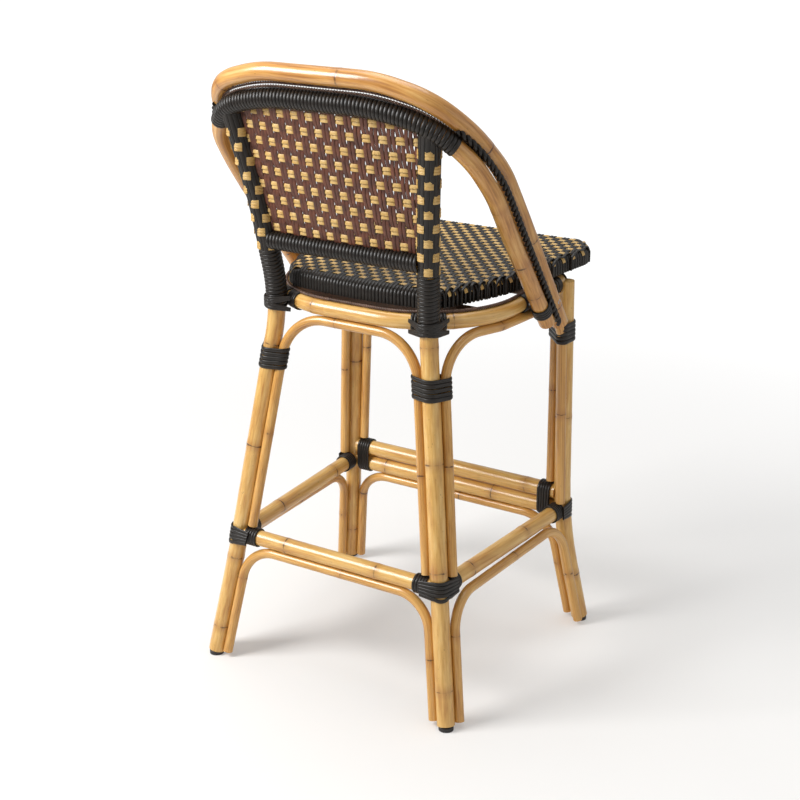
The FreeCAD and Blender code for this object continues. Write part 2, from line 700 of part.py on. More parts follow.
def seat_solid(name, inset, bottom, top, edge):
    """A flat solid with the seat's outline moved in by inset, its long edges rounded."""
    outline = seat_wire.makeOffset2D(-inset) if inset else seat_wire.copy()
    outline.translate(V(0, 0, bottom))
    solid = Part.Face(outline).extrude(V(0, 0, top - bottom))
    rims = [e for e in solid.Edges if abs(e.BoundBox.ZMax - e.BoundBox.ZMin) < 1e-6]
    piece = doc.addObject("Part::Feature", name)
    piece.Shape = solid.makeFillet(edge, rims)
    return piece


OUTER_ROUND = 16.5
INNER_ROUND = 13.5
HATCH_INSET = 21
skin = size("weave_thickness")
seat_low, seat_high = size("seat_bottom"), size("seat_top")
outside = seat_solid("seat_weave_outside", 0, seat_low, seat_high, OUTER_ROUND)
hollow = seat_solid("seat_weave_hollow", skin, seat_low + skin / 2, seat_high - skin, INNER_ROUND)
hatch_wire = seat_wire.makeOffset2D(-HATCH_INSET)
hatch_wire.translate(V(0, 0, seat_low - 10))
hatch = doc.addObject("Part::Feature", "seat_weave_hatch")
hatch.Shape = Part.Face(hatch_wire).extrude(V(0, 0, 25))
frame_inset = skin + size("frame_radius") + 0.4
frame_level = seat_high - skin - size("frame_radius") - 0.4
frame_wire = seat_wire.makeOffset2D(-frame_inset)
frame_wire.translate(V(0, 0, frame_level))
frame_route = add_route("seat_frame", frame_wire)
frame_rod = rod("seat_frame_rod", frame_route, "sizes.frame_radius")
frame_sleeve = rod("seat_frame_sleeve", frame_route, "sizes.frame_radius + sizes.fit_gap")

SLATS = [(-210, 203), (-70, 203), (60, 174)]  # y, half length before coping
SLAT_LIFT = 3
slats = []
for slat_y, reach in SLATS:
    slat_level = frame_level + SLAT_LIFT
    bar = straight_rod(f"slat_{len(slats)}_bar", V(-reach, slat_y, slat_level),
                       V(reach, slat_y, slat_level), "sizes.slat_radius")
    slats.append(cut(f"slat_{len(slats)}", bar, [frame_sleeve]))
node("seat_slats", group("seat_slats", slats))

# Two bearers span the ring, coped to it, and carry the frame on screws. Their upper part is
# shorter, and the weave leaves a notch for it.
BEARERS = {"rear": (95, 190, 162, 157), "front": (-110, 211, 208, 196)}
BEARER_WIDTH = 26
BEARER_LOW = 690
BEARER_STEP = 713.5
SEAT_SCREW = 46
bearer_high = frame_level - size("frame_radius") - 0.3
notches = []
frame_holes = []
seat_screws = []
for place, (bearer_y, reach, upper_reach, screw_x) in BEARERS.items():
    near, far = bearer_y - BEARER_WIDTH / 2, bearer_y + BEARER_WIDTH / 2
    name = f"seat_bearer_{place}"
    lower = block(name + "_lower", V(-reach, near, BEARER_LOW), V(reach, far, BEARER_STEP))
    upper = block(name + "_upper", V(-upper_reach, near, BEARER_STEP - 1),
                  V(upper_reach, far, bearer_high))
    margin = V(1, 1, 1) * size("fit_gap")
    notches.append(block(name + "_notch", V(-upper_reach, near, BEARER_STEP) - margin,
                         V(upper_reach, far, bearer_high) + margin))
    board = fuse(name + "_board", [lower, upper])
    holes = []
    for sign in (1, -1):
        start = V(sign * screw_x, bearer_y, BEARER_LOW + 0.2)
        number = len(seat_screws)
        seat_screws.append(screw(f"seat_screw_{number}", start, UP, SEAT_SCREW))
        holes.append(screw(f"seat_screw_{number}_hole", start, UP, SEAT_SCREW, DRILL))
    frame_holes += holes
    node(f"seat_bearer_{place}", cut(f"seat_bearer_{place}", board, [ring_sleeve] + holes))
node("seat_screws", group("seat_screws", seat_screws))
node("seat_frame", cut("seat_frame", frame_rod, frame_holes))
node("seat_weave", cut("seat_weave", outside, [hollow, hatch] + notches))

# A thin twisted cord lies along the top of the ring, just under the weave.
edge_lift = UP * (size("ring_radius") + size("edge_cord_radius") + size("fit_gap"))
edge_points = [point + edge_lift for point in ring_points]
edge_route = add_route("seat_edge_cord", rounded_route(edge_points, ring_bends, closed=True))
node("seat_edge_cord", rod("seat_edge_cord", edge_route, "sizes.edge_cord_radius"))
edge_cord_sleeve = rod("seat_edge_cord_sleeve", edge_route, "sizes.edge_cord_radius + sizes.fit_gap")

# ---------------------------------------------------------------- ring and arm lashings
LASH_SPREAD = 42
LASH_LOW = 660
LASH_HIGH = 740
lash_rod = rod("ring_lash_rod", ring_route, "sizes.ring_radius + sizes.binding")
for end, side in LEGS:
    sign = SIDES[side]
    spot = POST_AT_RING if end == "back" else FRONT_LEG[2]
    region = block(f"ring_lash_{end}_{side}_region",
                   V(spot.x * sign - LASH_SPREAD, spot.y - LASH_SPREAD, LASH_LOW),
                   V(spot.x * sign + LASH_SPREAD, spot.y + LASH_SPREAD, LASH_HIGH))
    band = common(f"ring_lash_{end}_{side}_band", lash_rod, region)
    tools = [ring_sleeve, edge_cord_sleeve]
    if end == "back":
        tools.append(post_wrap_sleeves[0 if side == "left" else 1])
    else:
        tools.append(leg_sleeves[end, side])
    node(f"ring_lash_{end}_{side}", cut(f"ring_lash_{end}_{side}", band, tools))
# An arm lash has turns round the inner pole, above its cut end, and turns round the ring beside it.
ARM_TURNS = (28, 52)
RING_TURNS = (-45, -9)
for side in SIDES:
    toe, knee = mirror([INNER_HOOP[-1], INNER_HOOP[-2]], side)
    up = (knee - toe).normalize()
    name = f"arm_lash_{side}"
    low_turn, high_turn = ARM_TURNS
    on_pole = collar(name + "_pole_turns", toe + up * low_turn, toe + up * high_turn,
                     "sizes.inner_hoop_radius")
    ring_back, ring_front = (left_back, left_front) if side == "left" else (right_back, right_front)
    ring_run = (ring_front - ring_back).normalize()
    ends = [ring_back + ring_run * ((y - ring_back.y) / ring_run.y) for y in RING_TURNS]
    on_ring = collar(name + "_ring_turns", *ends, "sizes.ring_radius")
    holes = drills[name]
    pole_part = cut(name + "_pole", on_pole, [cord_sleeves[side], outer_sleeve] + holes)
    ring_part = cut(name + "_ring", on_ring, [edge_cord_sleeve, arch_sleeves[side]] + holes)
    node(name, group(name, [pole_part, ring_part]))

# ---------------------------------------------------------------- check and write
doc.recompute()
failed = [o.Name for o in doc.Objects if set(o.State) & {"Invalid", "Error"}]
if failed:
    raise RuntimeError("objects that did not build: " + ", ".join(failed))
os.makedirs("parts", exist_ok=True)
for label, piece in NODES.items():
    if piece.Shape.isNull() or not piece.Shape.isValid() or not piece.Shape.Solids:
        raise RuntimeError("no valid solid in " + label)
for label, piece in NODES.items():
    piece.Shape.exportStep(f"parts/{label}.step")
    print(label, len(piece.Shape.Solids), round(piece.Shape.Volume / 1000, 1), "cm3")

whole = FreeCAD.BoundBox()
for piece in NODES.values():
    whole.add(piece.Shape.BoundBox)
print("nodes", len(NODES), "box", whole)
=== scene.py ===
import bpy
import math
import numpy as np
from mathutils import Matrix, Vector


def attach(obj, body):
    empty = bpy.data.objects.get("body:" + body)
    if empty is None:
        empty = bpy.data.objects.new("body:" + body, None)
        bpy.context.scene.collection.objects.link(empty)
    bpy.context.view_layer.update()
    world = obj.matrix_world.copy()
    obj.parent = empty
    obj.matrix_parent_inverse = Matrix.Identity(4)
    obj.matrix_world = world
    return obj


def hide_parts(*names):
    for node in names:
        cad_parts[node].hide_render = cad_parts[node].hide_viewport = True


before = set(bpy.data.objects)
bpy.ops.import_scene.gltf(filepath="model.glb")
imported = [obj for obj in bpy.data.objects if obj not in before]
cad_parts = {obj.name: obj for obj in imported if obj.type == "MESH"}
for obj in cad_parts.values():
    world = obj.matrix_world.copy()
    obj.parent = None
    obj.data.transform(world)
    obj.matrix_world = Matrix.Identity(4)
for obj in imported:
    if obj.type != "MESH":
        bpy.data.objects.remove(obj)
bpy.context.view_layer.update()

# Four legs: rattan poles, skinned and lacquered. Each back leg is one pole from the floor to the
# inner hoop, steamed and bent at the seat so that its upper half leans back as a post.
BACK_LEG = [(257, 287, 0), (222.5, 253.5, 215), (155, 187, 700), (172, 218, 885), (197, 256, 1052)]
BACK_LEG_BENDS = [900, 350, 900]
FRONT_LEG = [(277, -211, 0), (244.5, -177, 215), (234, -176.5, 706)]
FRONT_LEG_BENDS = [900]
LEG_RADIUS = 16
GLIDE_HEIGHT = 8
SIDES = {"left": 1, "right": -1}


def add(tree, kind, inputs=None, **settings):
    """Add one node, with its settings, and its inputs linked or set."""
    node = tree.nodes.new(kind)
    for name, value in settings.items():
        setattr(node, name, value)
    for key, value in (inputs or {}).items():
        socket = node.inputs[key]
        if isinstance(value, bpy.types.NodeSocket):
            tree.links.new(value, socket)
        else:
            socket.default_value = value
    return node


def paint(code):
    """A colour written as six hexadecimal digits, as linear red, green, blue and alpha."""
    levels = [int(code[i:i + 2], 16) / 255 for i in (0, 2, 4)]
    return [v / 12.92 if v <= 0.04045 else ((v + 0.055) / 1.055) ** 2.4 for v in levels] + [1]


def calculate(tree, operation, *values, clamp=False):
    """One math node on numbers or sockets."""
    return add(tree, "ShaderNodeMath", dict(enumerate(values)), operation=operation, use_clamp=clamp).outputs[0]


def blend(tree, factor, below, above):
    """Mix two colours."""
    mix = add(tree, "ShaderNodeMix", data_type="RGBA")
    for socket, value in zip([mix.inputs[0], mix.inputs[6], mix.inputs[7]], [factor, below, above]):
        if isinstance(value, bpy.types.NodeSocket):
            tree.links.new(value, socket)
        else:
            socket.default_value = value
    return mix.outputs[2]


def new_finish(name, roughness, coat=0.0, coat_roughness=0.1, specular=0.5):
    """An empty material with its shader; coat and specular are set on the shader itself."""
    finish = bpy.data.materials.new(name)
    finish.use_nodes = True
    tree = finish.node_tree
    shader = tree.nodes["Principled BSDF"]
    shader.inputs["Roughness"].default_value = roughness
    shader.inputs["Coat Weight"].default_value = coat
    shader.inputs["Coat Roughness"].default_value = coat_roughness
    shader.inputs["Specular IOR Level"].default_value = specular
    return finish, tree, shader


def rattan_finish(name, pale, mid, deep, roughness=0.34):
    """Lacquered rattan: long fibres and streaks along the pole, and a brown scar at each knuckle."""
    finish, tree, shader = new_finish(name, roughness, coat=0.45, coat_roughness=0.16)
    around = add(tree, "ShaderNodeAttribute", attribute_name="around").outputs["Vector"]
    along = add(tree, "ShaderNodeAttribute", attribute_name="along").outputs["Fac"]
    knuckle = add(tree, "ShaderNodeAttribute", attribute_name="knuckle").outputs["Fac"]
    place = add(tree, "ShaderNodeTexCoord").outputs["Object"]

    def on_skin(stretch, scale, detail=3.0):
        """Noise laid on the pole's skin, drawn out along its length."""
        ring = add(tree, "ShaderNodeVectorMath", {0: around, "Scale": 0.016}, operation="SCALE").outputs[0]
        run = add(tree, "ShaderNodeCombineXYZ", {"Z": calculate(tree, "DIVIDE", along, stretch)}).outputs[0]
        patch = add(tree, "ShaderNodeVectorMath", {0: place, "Scale": 0.05}, operation="SCALE").outputs[0]
        spot = add(tree, "ShaderNodeVectorMath", {0: ring, 1: run}, operation="ADD").outputs[0]
        spot = add(tree, "ShaderNodeVectorMath", {0: spot, 1: patch}, operation="ADD").outputs[0]
        return add(tree, "ShaderNodeTexNoise", {"Vector": spot, "Scale": scale, "Detail": detail}).outputs["Fac"]

    fibres = on_skin(60, 1500)
    streaks = on_skin(26, 260)
    clouds = on_skin(5, 38)
    tone = calculate(tree, "ADD", calculate(tree, "MULTIPLY", streaks, 0.5), calculate(tree, "MULTIPLY", clouds, 0.5))
    ramp = add(tree, "ShaderNodeValToRGB", {"Fac": tone})
    ramp.color_ramp.elements[0].position = 0.33
    ramp.color_ramp.elements[0].color = paint(deep)
    ramp.color_ramp.elements[1].position = 0.66
    ramp.color_ramp.elements[1].color = paint(pale)
    ramp.color_ramp.elements.new(0.5).color = paint(mid)
    skin = ramp.outputs["Color"]
    thin = add(tree, "ShaderNodeMapRange", {"Value": fibres, "From Min": 0.56, "From Max": 0.74, "To Max": 0.22}).outputs[0]
    skin = blend(tree, thin, skin, paint("8A5526"))
    flecks = add(tree, "ShaderNodeMapRange", {"Value": on_skin(3.2, 420, 1.0), "From Min": 0.73, "From Max": 0.79,
                                              "To Max": 0.65}).outputs[0]
    skin = blend(tree, flecks, skin, paint("6B3F1C"))
    # the knuckle: a wavering dark line, with a brown shade that fades away from it
    waver = calculate(tree, "MULTIPLY", calculate(tree, "SUBTRACT", on_skin(1, 90, 2.0), 0.5), 0.0055)
    away = calculate(tree, "ABSOLUTE", calculate(tree, "ADD", knuckle, waver))
    shade = add(tree, "ShaderNodeMapRange", {"Value": away, "From Min": 0.0, "From Max": 0.016, "To Min": 0.42,
                                             "To Max": 0.0}).outputs[0]
    skin = blend(tree, shade, skin, paint("9A5F2A"))
    line = add(tree, "ShaderNodeMapRange", {"Value": away, "From Min": 0.0005, "From Max": 0.0017, "To Min": 0.85,
                                            "To Max": 0.0}).outputs[0]
    skin = blend(tree, line, skin, paint("3C1F0E"))
    tree.links.new(skin, shader.inputs["Base Color"])
    relief = calculate(tree, "SUBTRACT", calculate(tree, "MULTIPLY", fibres, 0.35), line)
    bump = add(tree, "ShaderNodeBump", {"Height": relief, "Strength": 0.25, "Distance": 0.0006})
    tree.links.new(bump.outputs[0], shader.inputs["Normal"])
    return finish


def rounded(points, bends, closed=False):
    """The pole's line: straight runs through the points, with a true arc at each bend."""
    points = [Vector(p) for p in points]
    path = []
    for i, corner in enumerate(points):
        if not closed and i in (0, len(points) - 1):
            path.append(corner)
            continue
        bend = bends[i] if closed else bends[i - 1]
        back = (points[i - 1] - corner).normalized()
        ahead = (points[(i + 1) % len(points)] - corner).normalized()
        turn = math.pi - back.angle(ahead)
        reach = bend * math.tan(turn / 2)
        centre = corner + (back + ahead).normalized() * (bend / math.cos(turn / 2))
        first, last = corner + back * reach - centre, corner + ahead * reach - centre
        steps = max(2, round(turn / math.radians(2.5)))
        path += [centre + first.slerp(last, k / steps) * bend for k in range(steps + 1)]
    return path


def lines_mesh(name, runs, facings=None, closed=False, marks=()):
    """A mesh of bare lines, in metres, with the way that each point faces, and loose marks."""
    spots, edges, faces = [], [], []
    for number, run in enumerate(runs):
        first = len(spots)
        spots += [Vector(p) / 1000 for p in run]
        edges += [(first + k, first + k + 1) for k in range(len(run) - 1)]
        if closed:
            edges.append((len(spots) - 1, first))
        faces += list(facings[number]) if facings else [(0, 0, 1)] * len(run)
    is_mark = [0.0] * len(spots) + [1.0] * len(marks)
    spots += [Vector(p) / 1000 for p in marks]
    faces += [(0, 0, 1)] * len(marks)
    mesh = bpy.data.meshes.new(name)
    mesh.from_pydata(spots, edges, [])
    mesh.attributes.new("facing", "FLOAT_VECTOR", "POINT").data.foreach_set("vector", np.ravel([tuple(f) for f in faces]))
    mesh.attributes.new("mark", "FLOAT", "POINT").data.foreach_set("value", is_mark)
    piece = bpy.data.objects.new(name, mesh)
    bpy.context.scene.collection.objects.link(piece)
    return piece


def new_tree(name, sockets):
    """An empty geometry tree with named inputs, and its way in and out."""
    tree = bpy.data.node_groups.new(name, "GeometryNodeTree")
    tree.interface.new_socket("Geometry", in_out="INPUT", socket_type="NodeSocketGeometry")
    for label, kind in sockets.items():
        tree.interface.new_socket(label, in_out="INPUT", socket_type="NodeSocket" + kind)
    tree.interface.new_socket("Geometry", in_out="OUTPUT", socket_type="NodeSocketGeometry")
    return tree, tree.nodes.new("NodeGroupInput"), tree.nodes.new("NodeGroupOutput")


def finish_tree(tree, start, end, shape):
    """Smooth sides, flat ends, then real geometry in its material."""
    corners = add(tree, "GeometryNodeInputMeshFaceNeighbors").outputs["Vertex Count"]
    is_side = add(tree, "FunctionNodeCompare", {2: corners, 3: 5}, data_type="INT", operation="LESS_THAN").outputs[0]
    smooth = add(tree, "GeometryNodeSetShadeSmooth", {"Geometry": shape, "Shade Smooth": is_side}).outputs[0]
    real = add(tree, "GeometryNodeRealizeInstances", {"Geometry": smooth}).outputs[0]
    made = add(tree, "GeometryNodeSetMaterial", {"Geometry": real, "Material": start.outputs["Material"]}).outputs[0]
    tree.links.new(made, end.inputs["Geometry"])


def make(piece, tree, values):
    """Run a tree on a line mesh and keep the result as the piece's own plain mesh."""
    modifier = piece.modifiers.new(tree.name, "NODES")
    modifier.node_group = tree
    sockets = {s.name: s.identifier for s in tree.interface.items_tree if s.in_out == "INPUT"}
    for label, value in values.items():
        modifier[sockets[label]] = value
    graph = bpy.context.evaluated_depsgraph_get()
    made = bpy.data.meshes.new_from_object(piece.evaluated_get(graph), preserve_all_data_layers=True, depsgraph=graph)
    piece.modifiers.clear()
    piece.data = made
    made.name = piece.name
    return piece


def fasten(piece, slot, *nodes):
    """The piece rides on the stool and stands for its nodes."""
    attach(piece, "root")
    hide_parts(*nodes)


pole_tree, start, end = new_tree("bent_pole", {"Radius": "Float", "Swell": "Float", "Step": "Float", "Material": "Material"})
is_mark = add(pole_tree, "GeometryNodeInputNamedAttribute", {"Name": "mark"}, data_type="FLOAT").outputs[0]
marked = add(pole_tree, "FunctionNodeCompare", {0: is_mark, 1: 0.5}, operation="GREATER_THAN").outputs[0]
parted = add(pole_tree, "GeometryNodeSeparateGeometry", {"Geometry": start.outputs["Geometry"], "Selection": marked})
line = add(pole_tree, "GeometryNodeMeshToCurve", {"Mesh": parted.outputs["Inverted"]}).outputs[0]
line = add(pole_tree, "GeometryNodeResampleCurve", {"Curve": line, 3: start.outputs["Step"]}, mode="LENGTH").outputs[0]
length = add(pole_tree, "GeometryNodeSplineParameter").outputs["Length"]
line = add(pole_tree, "GeometryNodeStoreNamedAttribute", {"Geometry": line, "Name": "along", "Value": length}).outputs[0]
near = add(pole_tree, "GeometryNodeProximity", {"Geometry": parted.outputs["Selection"]}, target_element="POINTS")
gap = near.outputs["Distance"]
line = add(pole_tree, "GeometryNodeStoreNamedAttribute", {"Geometry": line, "Name": "knuckle", "Value": gap}).outputs[0]
circle = add(pole_tree, "GeometryNodeCurvePrimitiveCircle", {"Resolution": 28, "Radius": 1.0}).outputs[0]
spot = add(pole_tree, "GeometryNodeInputPosition").outputs[0]
circle = add(pole_tree, "GeometryNodeStoreNamedAttribute", {"Geometry": circle, "Name": "around"},
             data_type="FLOAT_VECTOR")
pole_tree.links.new(add(pole_tree, "GeometryNodeCurvePrimitiveCircle", {"Resolution": 28, "Radius": 1.0}).outputs[0],
                    circle.inputs["Geometry"])
pole_tree.links.new(spot, circle.inputs["Value"])
knob = calculate(pole_tree, "POWER", calculate(pole_tree, "DIVIDE", gap, 0.007), 2.0)
knob = calculate(pole_tree, "EXPONENT", calculate(pole_tree, "MULTIPLY", knob, -1.0))
knob = calculate(pole_tree, "MULTIPLY_ADD", knob, start.outputs["Swell"], start.outputs["Radius"])
shape = add(pole_tree, "GeometryNodeCurveToMesh", {"Curve": line, "Profile Curve": circle.outputs[0], "Scale": knob,
                                                   "Fill Caps": True}).outputs[0]
finish_tree(pole_tree, start, end, shape)

honey = rattan_finish("honey_rattan", "E8C27C", "D8A95C", "BC843F")


def mirror(points, sign):
    return [(p[0] * sign, p[1], p[2]) for p in points]


def at_fractions(path, fractions):
    """Points at the given shares of a line's length, for its knuckles."""
    spots = np.array([tuple(p) for p in path])
    lengths = np.concatenate([[0], np.cumsum(np.linalg.norm(np.diff(spots, axis=0), axis=1))])
    return [tuple(np.interp(f * lengths[-1], lengths, spots[:, k]) for k in range(3)) for f in fractions]


def pole(name, path, radius, knuckles, finish, slot, node, closed=False, swell=0.5):
    """One bent pole, its knuckles given as shares of its length."""
    marks = at_fractions(path, knuckles)
    piece = lines_mesh(name, [path], closed=closed, marks=marks)
    make(piece, pole_tree, {"Radius": radius / 1000, "Swell": swell / 1000, "Step": 0.003, "Material": finish})
    fasten(piece, slot, node)
    return piece


def line_at(points, height):
    """Where a leg's straight runs are at a height between its foot and the seat ring."""
    low, high = (points[0], points[1]) if height < points[1][2] else (points[1], points[2])
    share = (height - low[2]) / (high[2] - low[2])
    return Vector(low) + (Vector(high) - Vector(low)) * share


LEG_KNUCKLES = {("back", "left"): (0.05, 0.187, 0.4, 0.585, 0.8), ("back", "right"): (0.06, 0.26, 0.44, 0.63, 0.86),
                ("front", "left"): (0.1, 0.36, 0.66, 0.9), ("front", "right"): (0.14, 0.33, 0.62, 0.88)}
leg_lines = {}
leg_corners = {}
for (end, side), knuckles in LEG_KNUCKLES.items():
    corners = mirror(BACK_LEG if end == "back" else FRONT_LEG, SIDES[side])
    bends = BACK_LEG_BENDS if end == "back" else FRONT_LEG_BENDS
    leg_corners[end, side] = corners
    low = line_at(corners, GLIDE_HEIGHT)
    path = rounded([tuple(low)] + corners[1:], bends)
    leg_lines[end, side] = path
    pole(f"pole_{end}_leg_{side}", path, LEG_RADIUS, knuckles, honey, "rattan_pole", f"{end}_leg_{side}")

# Seat ring: one pole bent into a closed D and scarfed at its front, lying level under the seat.
# The legs are screwed to it and the two hoops come down past its sides.
RING = [(227, 190, 700), (219, -200, 700), (-219, -200, 700), (-227, 190, 700)]
RING_BENDS = [174, 35, 35, 174]
ring_line = rounded(RING, RING_BENDS, closed=True)
pole("pole_seat_ring", ring_line, 14, (0.02, 0.2, 0.36, 0.55, 0.73, 0.9), honey, "rattan_pole", "seat_ring", closed=True)

# Outer and inner hoops: two poles that run over the back and down along the arms, side by side.
# They are bent hot, so the real skin browns where it turns; here each whole hoop gets one amber finish, browner than
# the legs'. Their lower ends are cut square.
OUTER_HOOP = [(113.5, 284, 1120), (203, 270, 1096.5), (249.5, 219.5, 1045.5), (263, 137, 970), (259.5, 56.5, 871.5),
              (261, -99.5, 650)]
OUTER_HOOP_BENDS = [240, 105, 190, 330, 1500]
INNER_HOOP = [(112.5, 276.5, 1077), (202, 262, 1053), (252.5, 222.5, 1001), (265, 165.5, 933.5), (262, 99.5, 847),
              (260, -50, 662.5)]
INNER_HOOP_BENDS = [370, 113, 140, 400, 1500]
amber = rattan_finish("amber_rattan", "DFB068", "C98F46", "9C632B", roughness=0.3)


def whole_hoop(half, bends):
    points = mirror(half, -1)[::-1] + list(half)
    return rounded(points, bends[::-1] + bends)


outer_line = whole_hoop(OUTER_HOOP, OUTER_HOOP_BENDS)
inner_line = whole_hoop(INNER_HOOP, INNER_HOOP_BENDS)
pole("pole_hoop_outer", outer_line, 15.5, (0.03, 0.14, 0.29, 0.47, 0.63, 0.78, 0.92), amber, "rattan_pole", "hoop_outer", swell=0.3)
pole("pole_hoop_inner", inner_line, 14.8, (0.06, 0.12, 0.22, 0.5, 0.8, 0.93), amber, "rattan_pole", "hoop_inner", swell=0.3)

# Stretchers and the doubled footrest: straight poles between the legs, screwed through them.
# The back one and the two sides are level; the front pair lie one above the other.
RAILS = {
    "back_stretcher": (("back", "left"), ("back", "right"), 249, 14.5, (0.24, 0.72)),
    "left_stretcher": (("back", "left"), ("front", "left"), 249, 14.5, (0.3, 0.8)),
    "right_stretcher": (("back", "right"), ("front", "right"), 249, 14.5, (0.2, 0.66)),
    "footrest_lower": (("front", "left"), ("front", "right"), 246, 15.5, (0.16, 0.7)),
    "footrest_upper": (("front", "left"), ("front", "right"), 279.5, 15.5, (0.4, 0.86)),
}
for name, (first, second, height, radius, knuckles) in RAILS.items():
    ends = [line_at(leg_corners[first], height), line_at(leg_corners[second], height)]
    run = (ends[1] - ends[0]).normalized()
    path = [ends[0] + run * 12, ends[1] - run * 12]
    pole("pole_" + name, path, radius, knuckles, honey, "rattan_pole", name)

# Cane arches: thin whole canes lining the legs. Above, they curve across under the seat ring;
# below, they run from the feet to just under the stretchers.
CANE_RADIUS = 9.0
BESIDE = LEG_RADIUS + CANE_RADIUS + 0.3
UPPER_TOP = 675.75
SIDE_TURN = {"back": 38, "front": 22}
ARCHES = {"back": (("back", "left"), ("back", "right")), "left": (("back", "left"), ("front", "left")),
          "right": (("back", "right"), ("front", "right")), "front": (("front", "left"), ("front", "right"))}
cane = rattan_finish("bent_cane", "E2B469", "CF9A4E", "AB7232", roughness=0.3)


def beside(first, second, turn=0):
    """A point on a cane that lies against the first leg, towards the second or turned outwards."""
    across = Vector((second.x - first.x, second.y - first.y, 0)).normalized()
    outward = Vector((math.copysign(1, first.x), 0, 0))
    way = across * math.cos(math.radians(turn)) + outward * math.sin(math.radians(turn))
    return first + way.normalized() * BESIDE


def carried_on(corners, height):
    """A leg's foot run, carried on up past its bend."""
    return Vector(corners[0]) + (Vector(corners[1]) - Vector(corners[0])) * (height / corners[1][2])


arch_lines = {}
for place, (first, second) in ARCHES.items():
    foot = 268.7 if place != "front" else 300.2
    pairs = []
    for this, other in ((first, second), (second, first)):
        a, b = leg_corners[this], leg_corners[other]
        turn = SIDE_TURN[this[0]] if place in SIDES else 0
        pairs.append([beside(line_at(a, level), line_at(b, level), turn) for level in (foot, UPPER_TOP)])
    points = pairs[0] + pairs[1][::-1]
    bends = [88, 88]
    if place == "front":
        points[1].y = points[2].y = -188
    if place in SIDES:
        points.insert(2, Vector((222 * SIDES[place], 50, UPPER_TOP)))
        bends = [88, 88, 88]
    arch_lines[place] = points
    path = rounded([tuple(p) for p in points], bends)
    pole(f"cane_upper_arch_{place}", path, CANE_RADIUS, (0.18, 0.47, 0.83), cane, "cane_liner", f"upper_arch_{place}", swell=0.25)
    top = 225.1 if place != "front" else 221.1
    pairs = []
    for this, other in ((first, second), (second, first)):
        a, b = leg_corners[this], leg_corners[other]
        turn = SIDE_TURN[this[0]] if place in SIDES else 0
        pairs.append([beside(carried_on(a, level), carried_on(b, level), turn) for level in (10, top)])
    points = pairs[0] + pairs[1][::-1]
    path = rounded([tuple(p) for p in points], [70, 70])
    pole(f"cane_lower_arch_{place}", path, CANE_RADIUS, (0.2, 0.52, 0.86), cane, "cane_liner", f"lower_arch_{place}", swell=0.25)

# Leg wraps: five flat turns of dark strand that pull the canes tight against each leg.
# The strand is extruded, a little glossy, with fine lines drawn along it.
WRAP_LEVELS = (579.9, 587.7, 595.5, 603.3, 611.1)


def strand_finish(name, base, edge, roughness, coat, lines=2600, grain=0.3, specular=0.5):
    """Extruded strand: fine drawn lines along it, a change of tone from length to length."""
    finish, tree, shader = new_finish(name, roughness, coat=coat, coat_roughness=0.22, specular=specular)
    around = add(tree, "ShaderNodeAttribute", attribute_name="around").outputs["Vector"]
    along = add(tree, "ShaderNodeAttribute", attribute_name="along").outputs["Fac"]
    place = add(tree, "ShaderNodeTexCoord").outputs["Object"]
    ring = add(tree, "ShaderNodeVectorMath", {0: around, "Scale": 0.003}, operation="SCALE").outputs[0]
    run = add(tree, "ShaderNodeCombineXYZ", {"Z": calculate(tree, "DIVIDE", along, 40)}).outputs[0]
    spot = add(tree, "ShaderNodeVectorMath", {0: ring, 1: run}, operation="ADD").outputs[0]
    drawn = add(tree, "ShaderNodeTexNoise", {"Vector": spot, "Scale": lines, "Detail": 2.0}).outputs["Fac"]
    patches = add(tree, "ShaderNodeTexNoise", {"Vector": place, "Scale": 70.0, "Detail": 2.0}).outputs["Fac"]
    tone = add(tree, "ShaderNodeMapRange", {"Value": patches, "From Min": 0.35, "From Max": 0.65}).outputs[0]
    colour = blend(tree, tone, paint(base), paint(edge))
    fine = add(tree, "ShaderNodeMapRange", {"Value": drawn, "From Min": 0.45, "From Max": 0.7, "To Max": grain}).outputs[0]
    dark = [c * 0.35 for c in paint(base)[:3]] + [1]
    colour = blend(tree, fine, colour, dark)
    tree.links.new(colour, shader.inputs["Base Color"])
    bump = add(tree, "ShaderNodeBump", {"Height": drawn, "Strength": 0.3, "Distance": 0.0003})
    tree.links.new(bump.outputs[0], shader.inputs["Normal"])
    return finish


dark_strand = strand_finish("dark_strand", "15100B", "1F1812", 0.4, 0.08, specular=0.38)

strand_tree, start, end = new_tree("laid_strand", {"Width": "Float", "Thickness": "Float", "Material": "Material"})
line = add(strand_tree, "GeometryNodeMeshToCurve", {"Mesh": start.outputs["Geometry"]}).outputs[0]
faces = add(strand_tree, "GeometryNodeInputNamedAttribute", {"Name": "facing"}, data_type="FLOAT_VECTOR").outputs[0]
line = add(strand_tree, "GeometryNodeSetCurveNormal", {"Curve": line, "Normal": faces}, mode="FREE").outputs[0]
length = add(strand_tree, "GeometryNodeSplineParameter").outputs["Length"]
line = add(strand_tree, "GeometryNodeStoreNamedAttribute", {"Geometry": line, "Name": "along", "Value": length}).outputs[0]


def strand_section(tree, start, sides):
    """The strand's flat oval section, with its place round the section kept."""
    circle = add(tree, "GeometryNodeCurvePrimitiveCircle", {"Resolution": sides, "Radius": 0.5}).outputs[0]
    spot = add(tree, "GeometryNodeInputPosition").outputs[0]
    stored = add(tree, "GeometryNodeStoreNamedAttribute", {"Geometry": circle, "Name": "around"}, data_type="FLOAT_VECTOR")
    tree.links.new(spot, stored.inputs["Value"])
    size = add(tree, "ShaderNodeCombineXYZ", {"X": start.outputs["Thickness"], "Y": start.outputs["Width"], "Z": 1.0})
    return add(tree, "GeometryNodeTransform", {"Geometry": stored.outputs[0], "Scale": size.outputs[0]}).outputs[0]


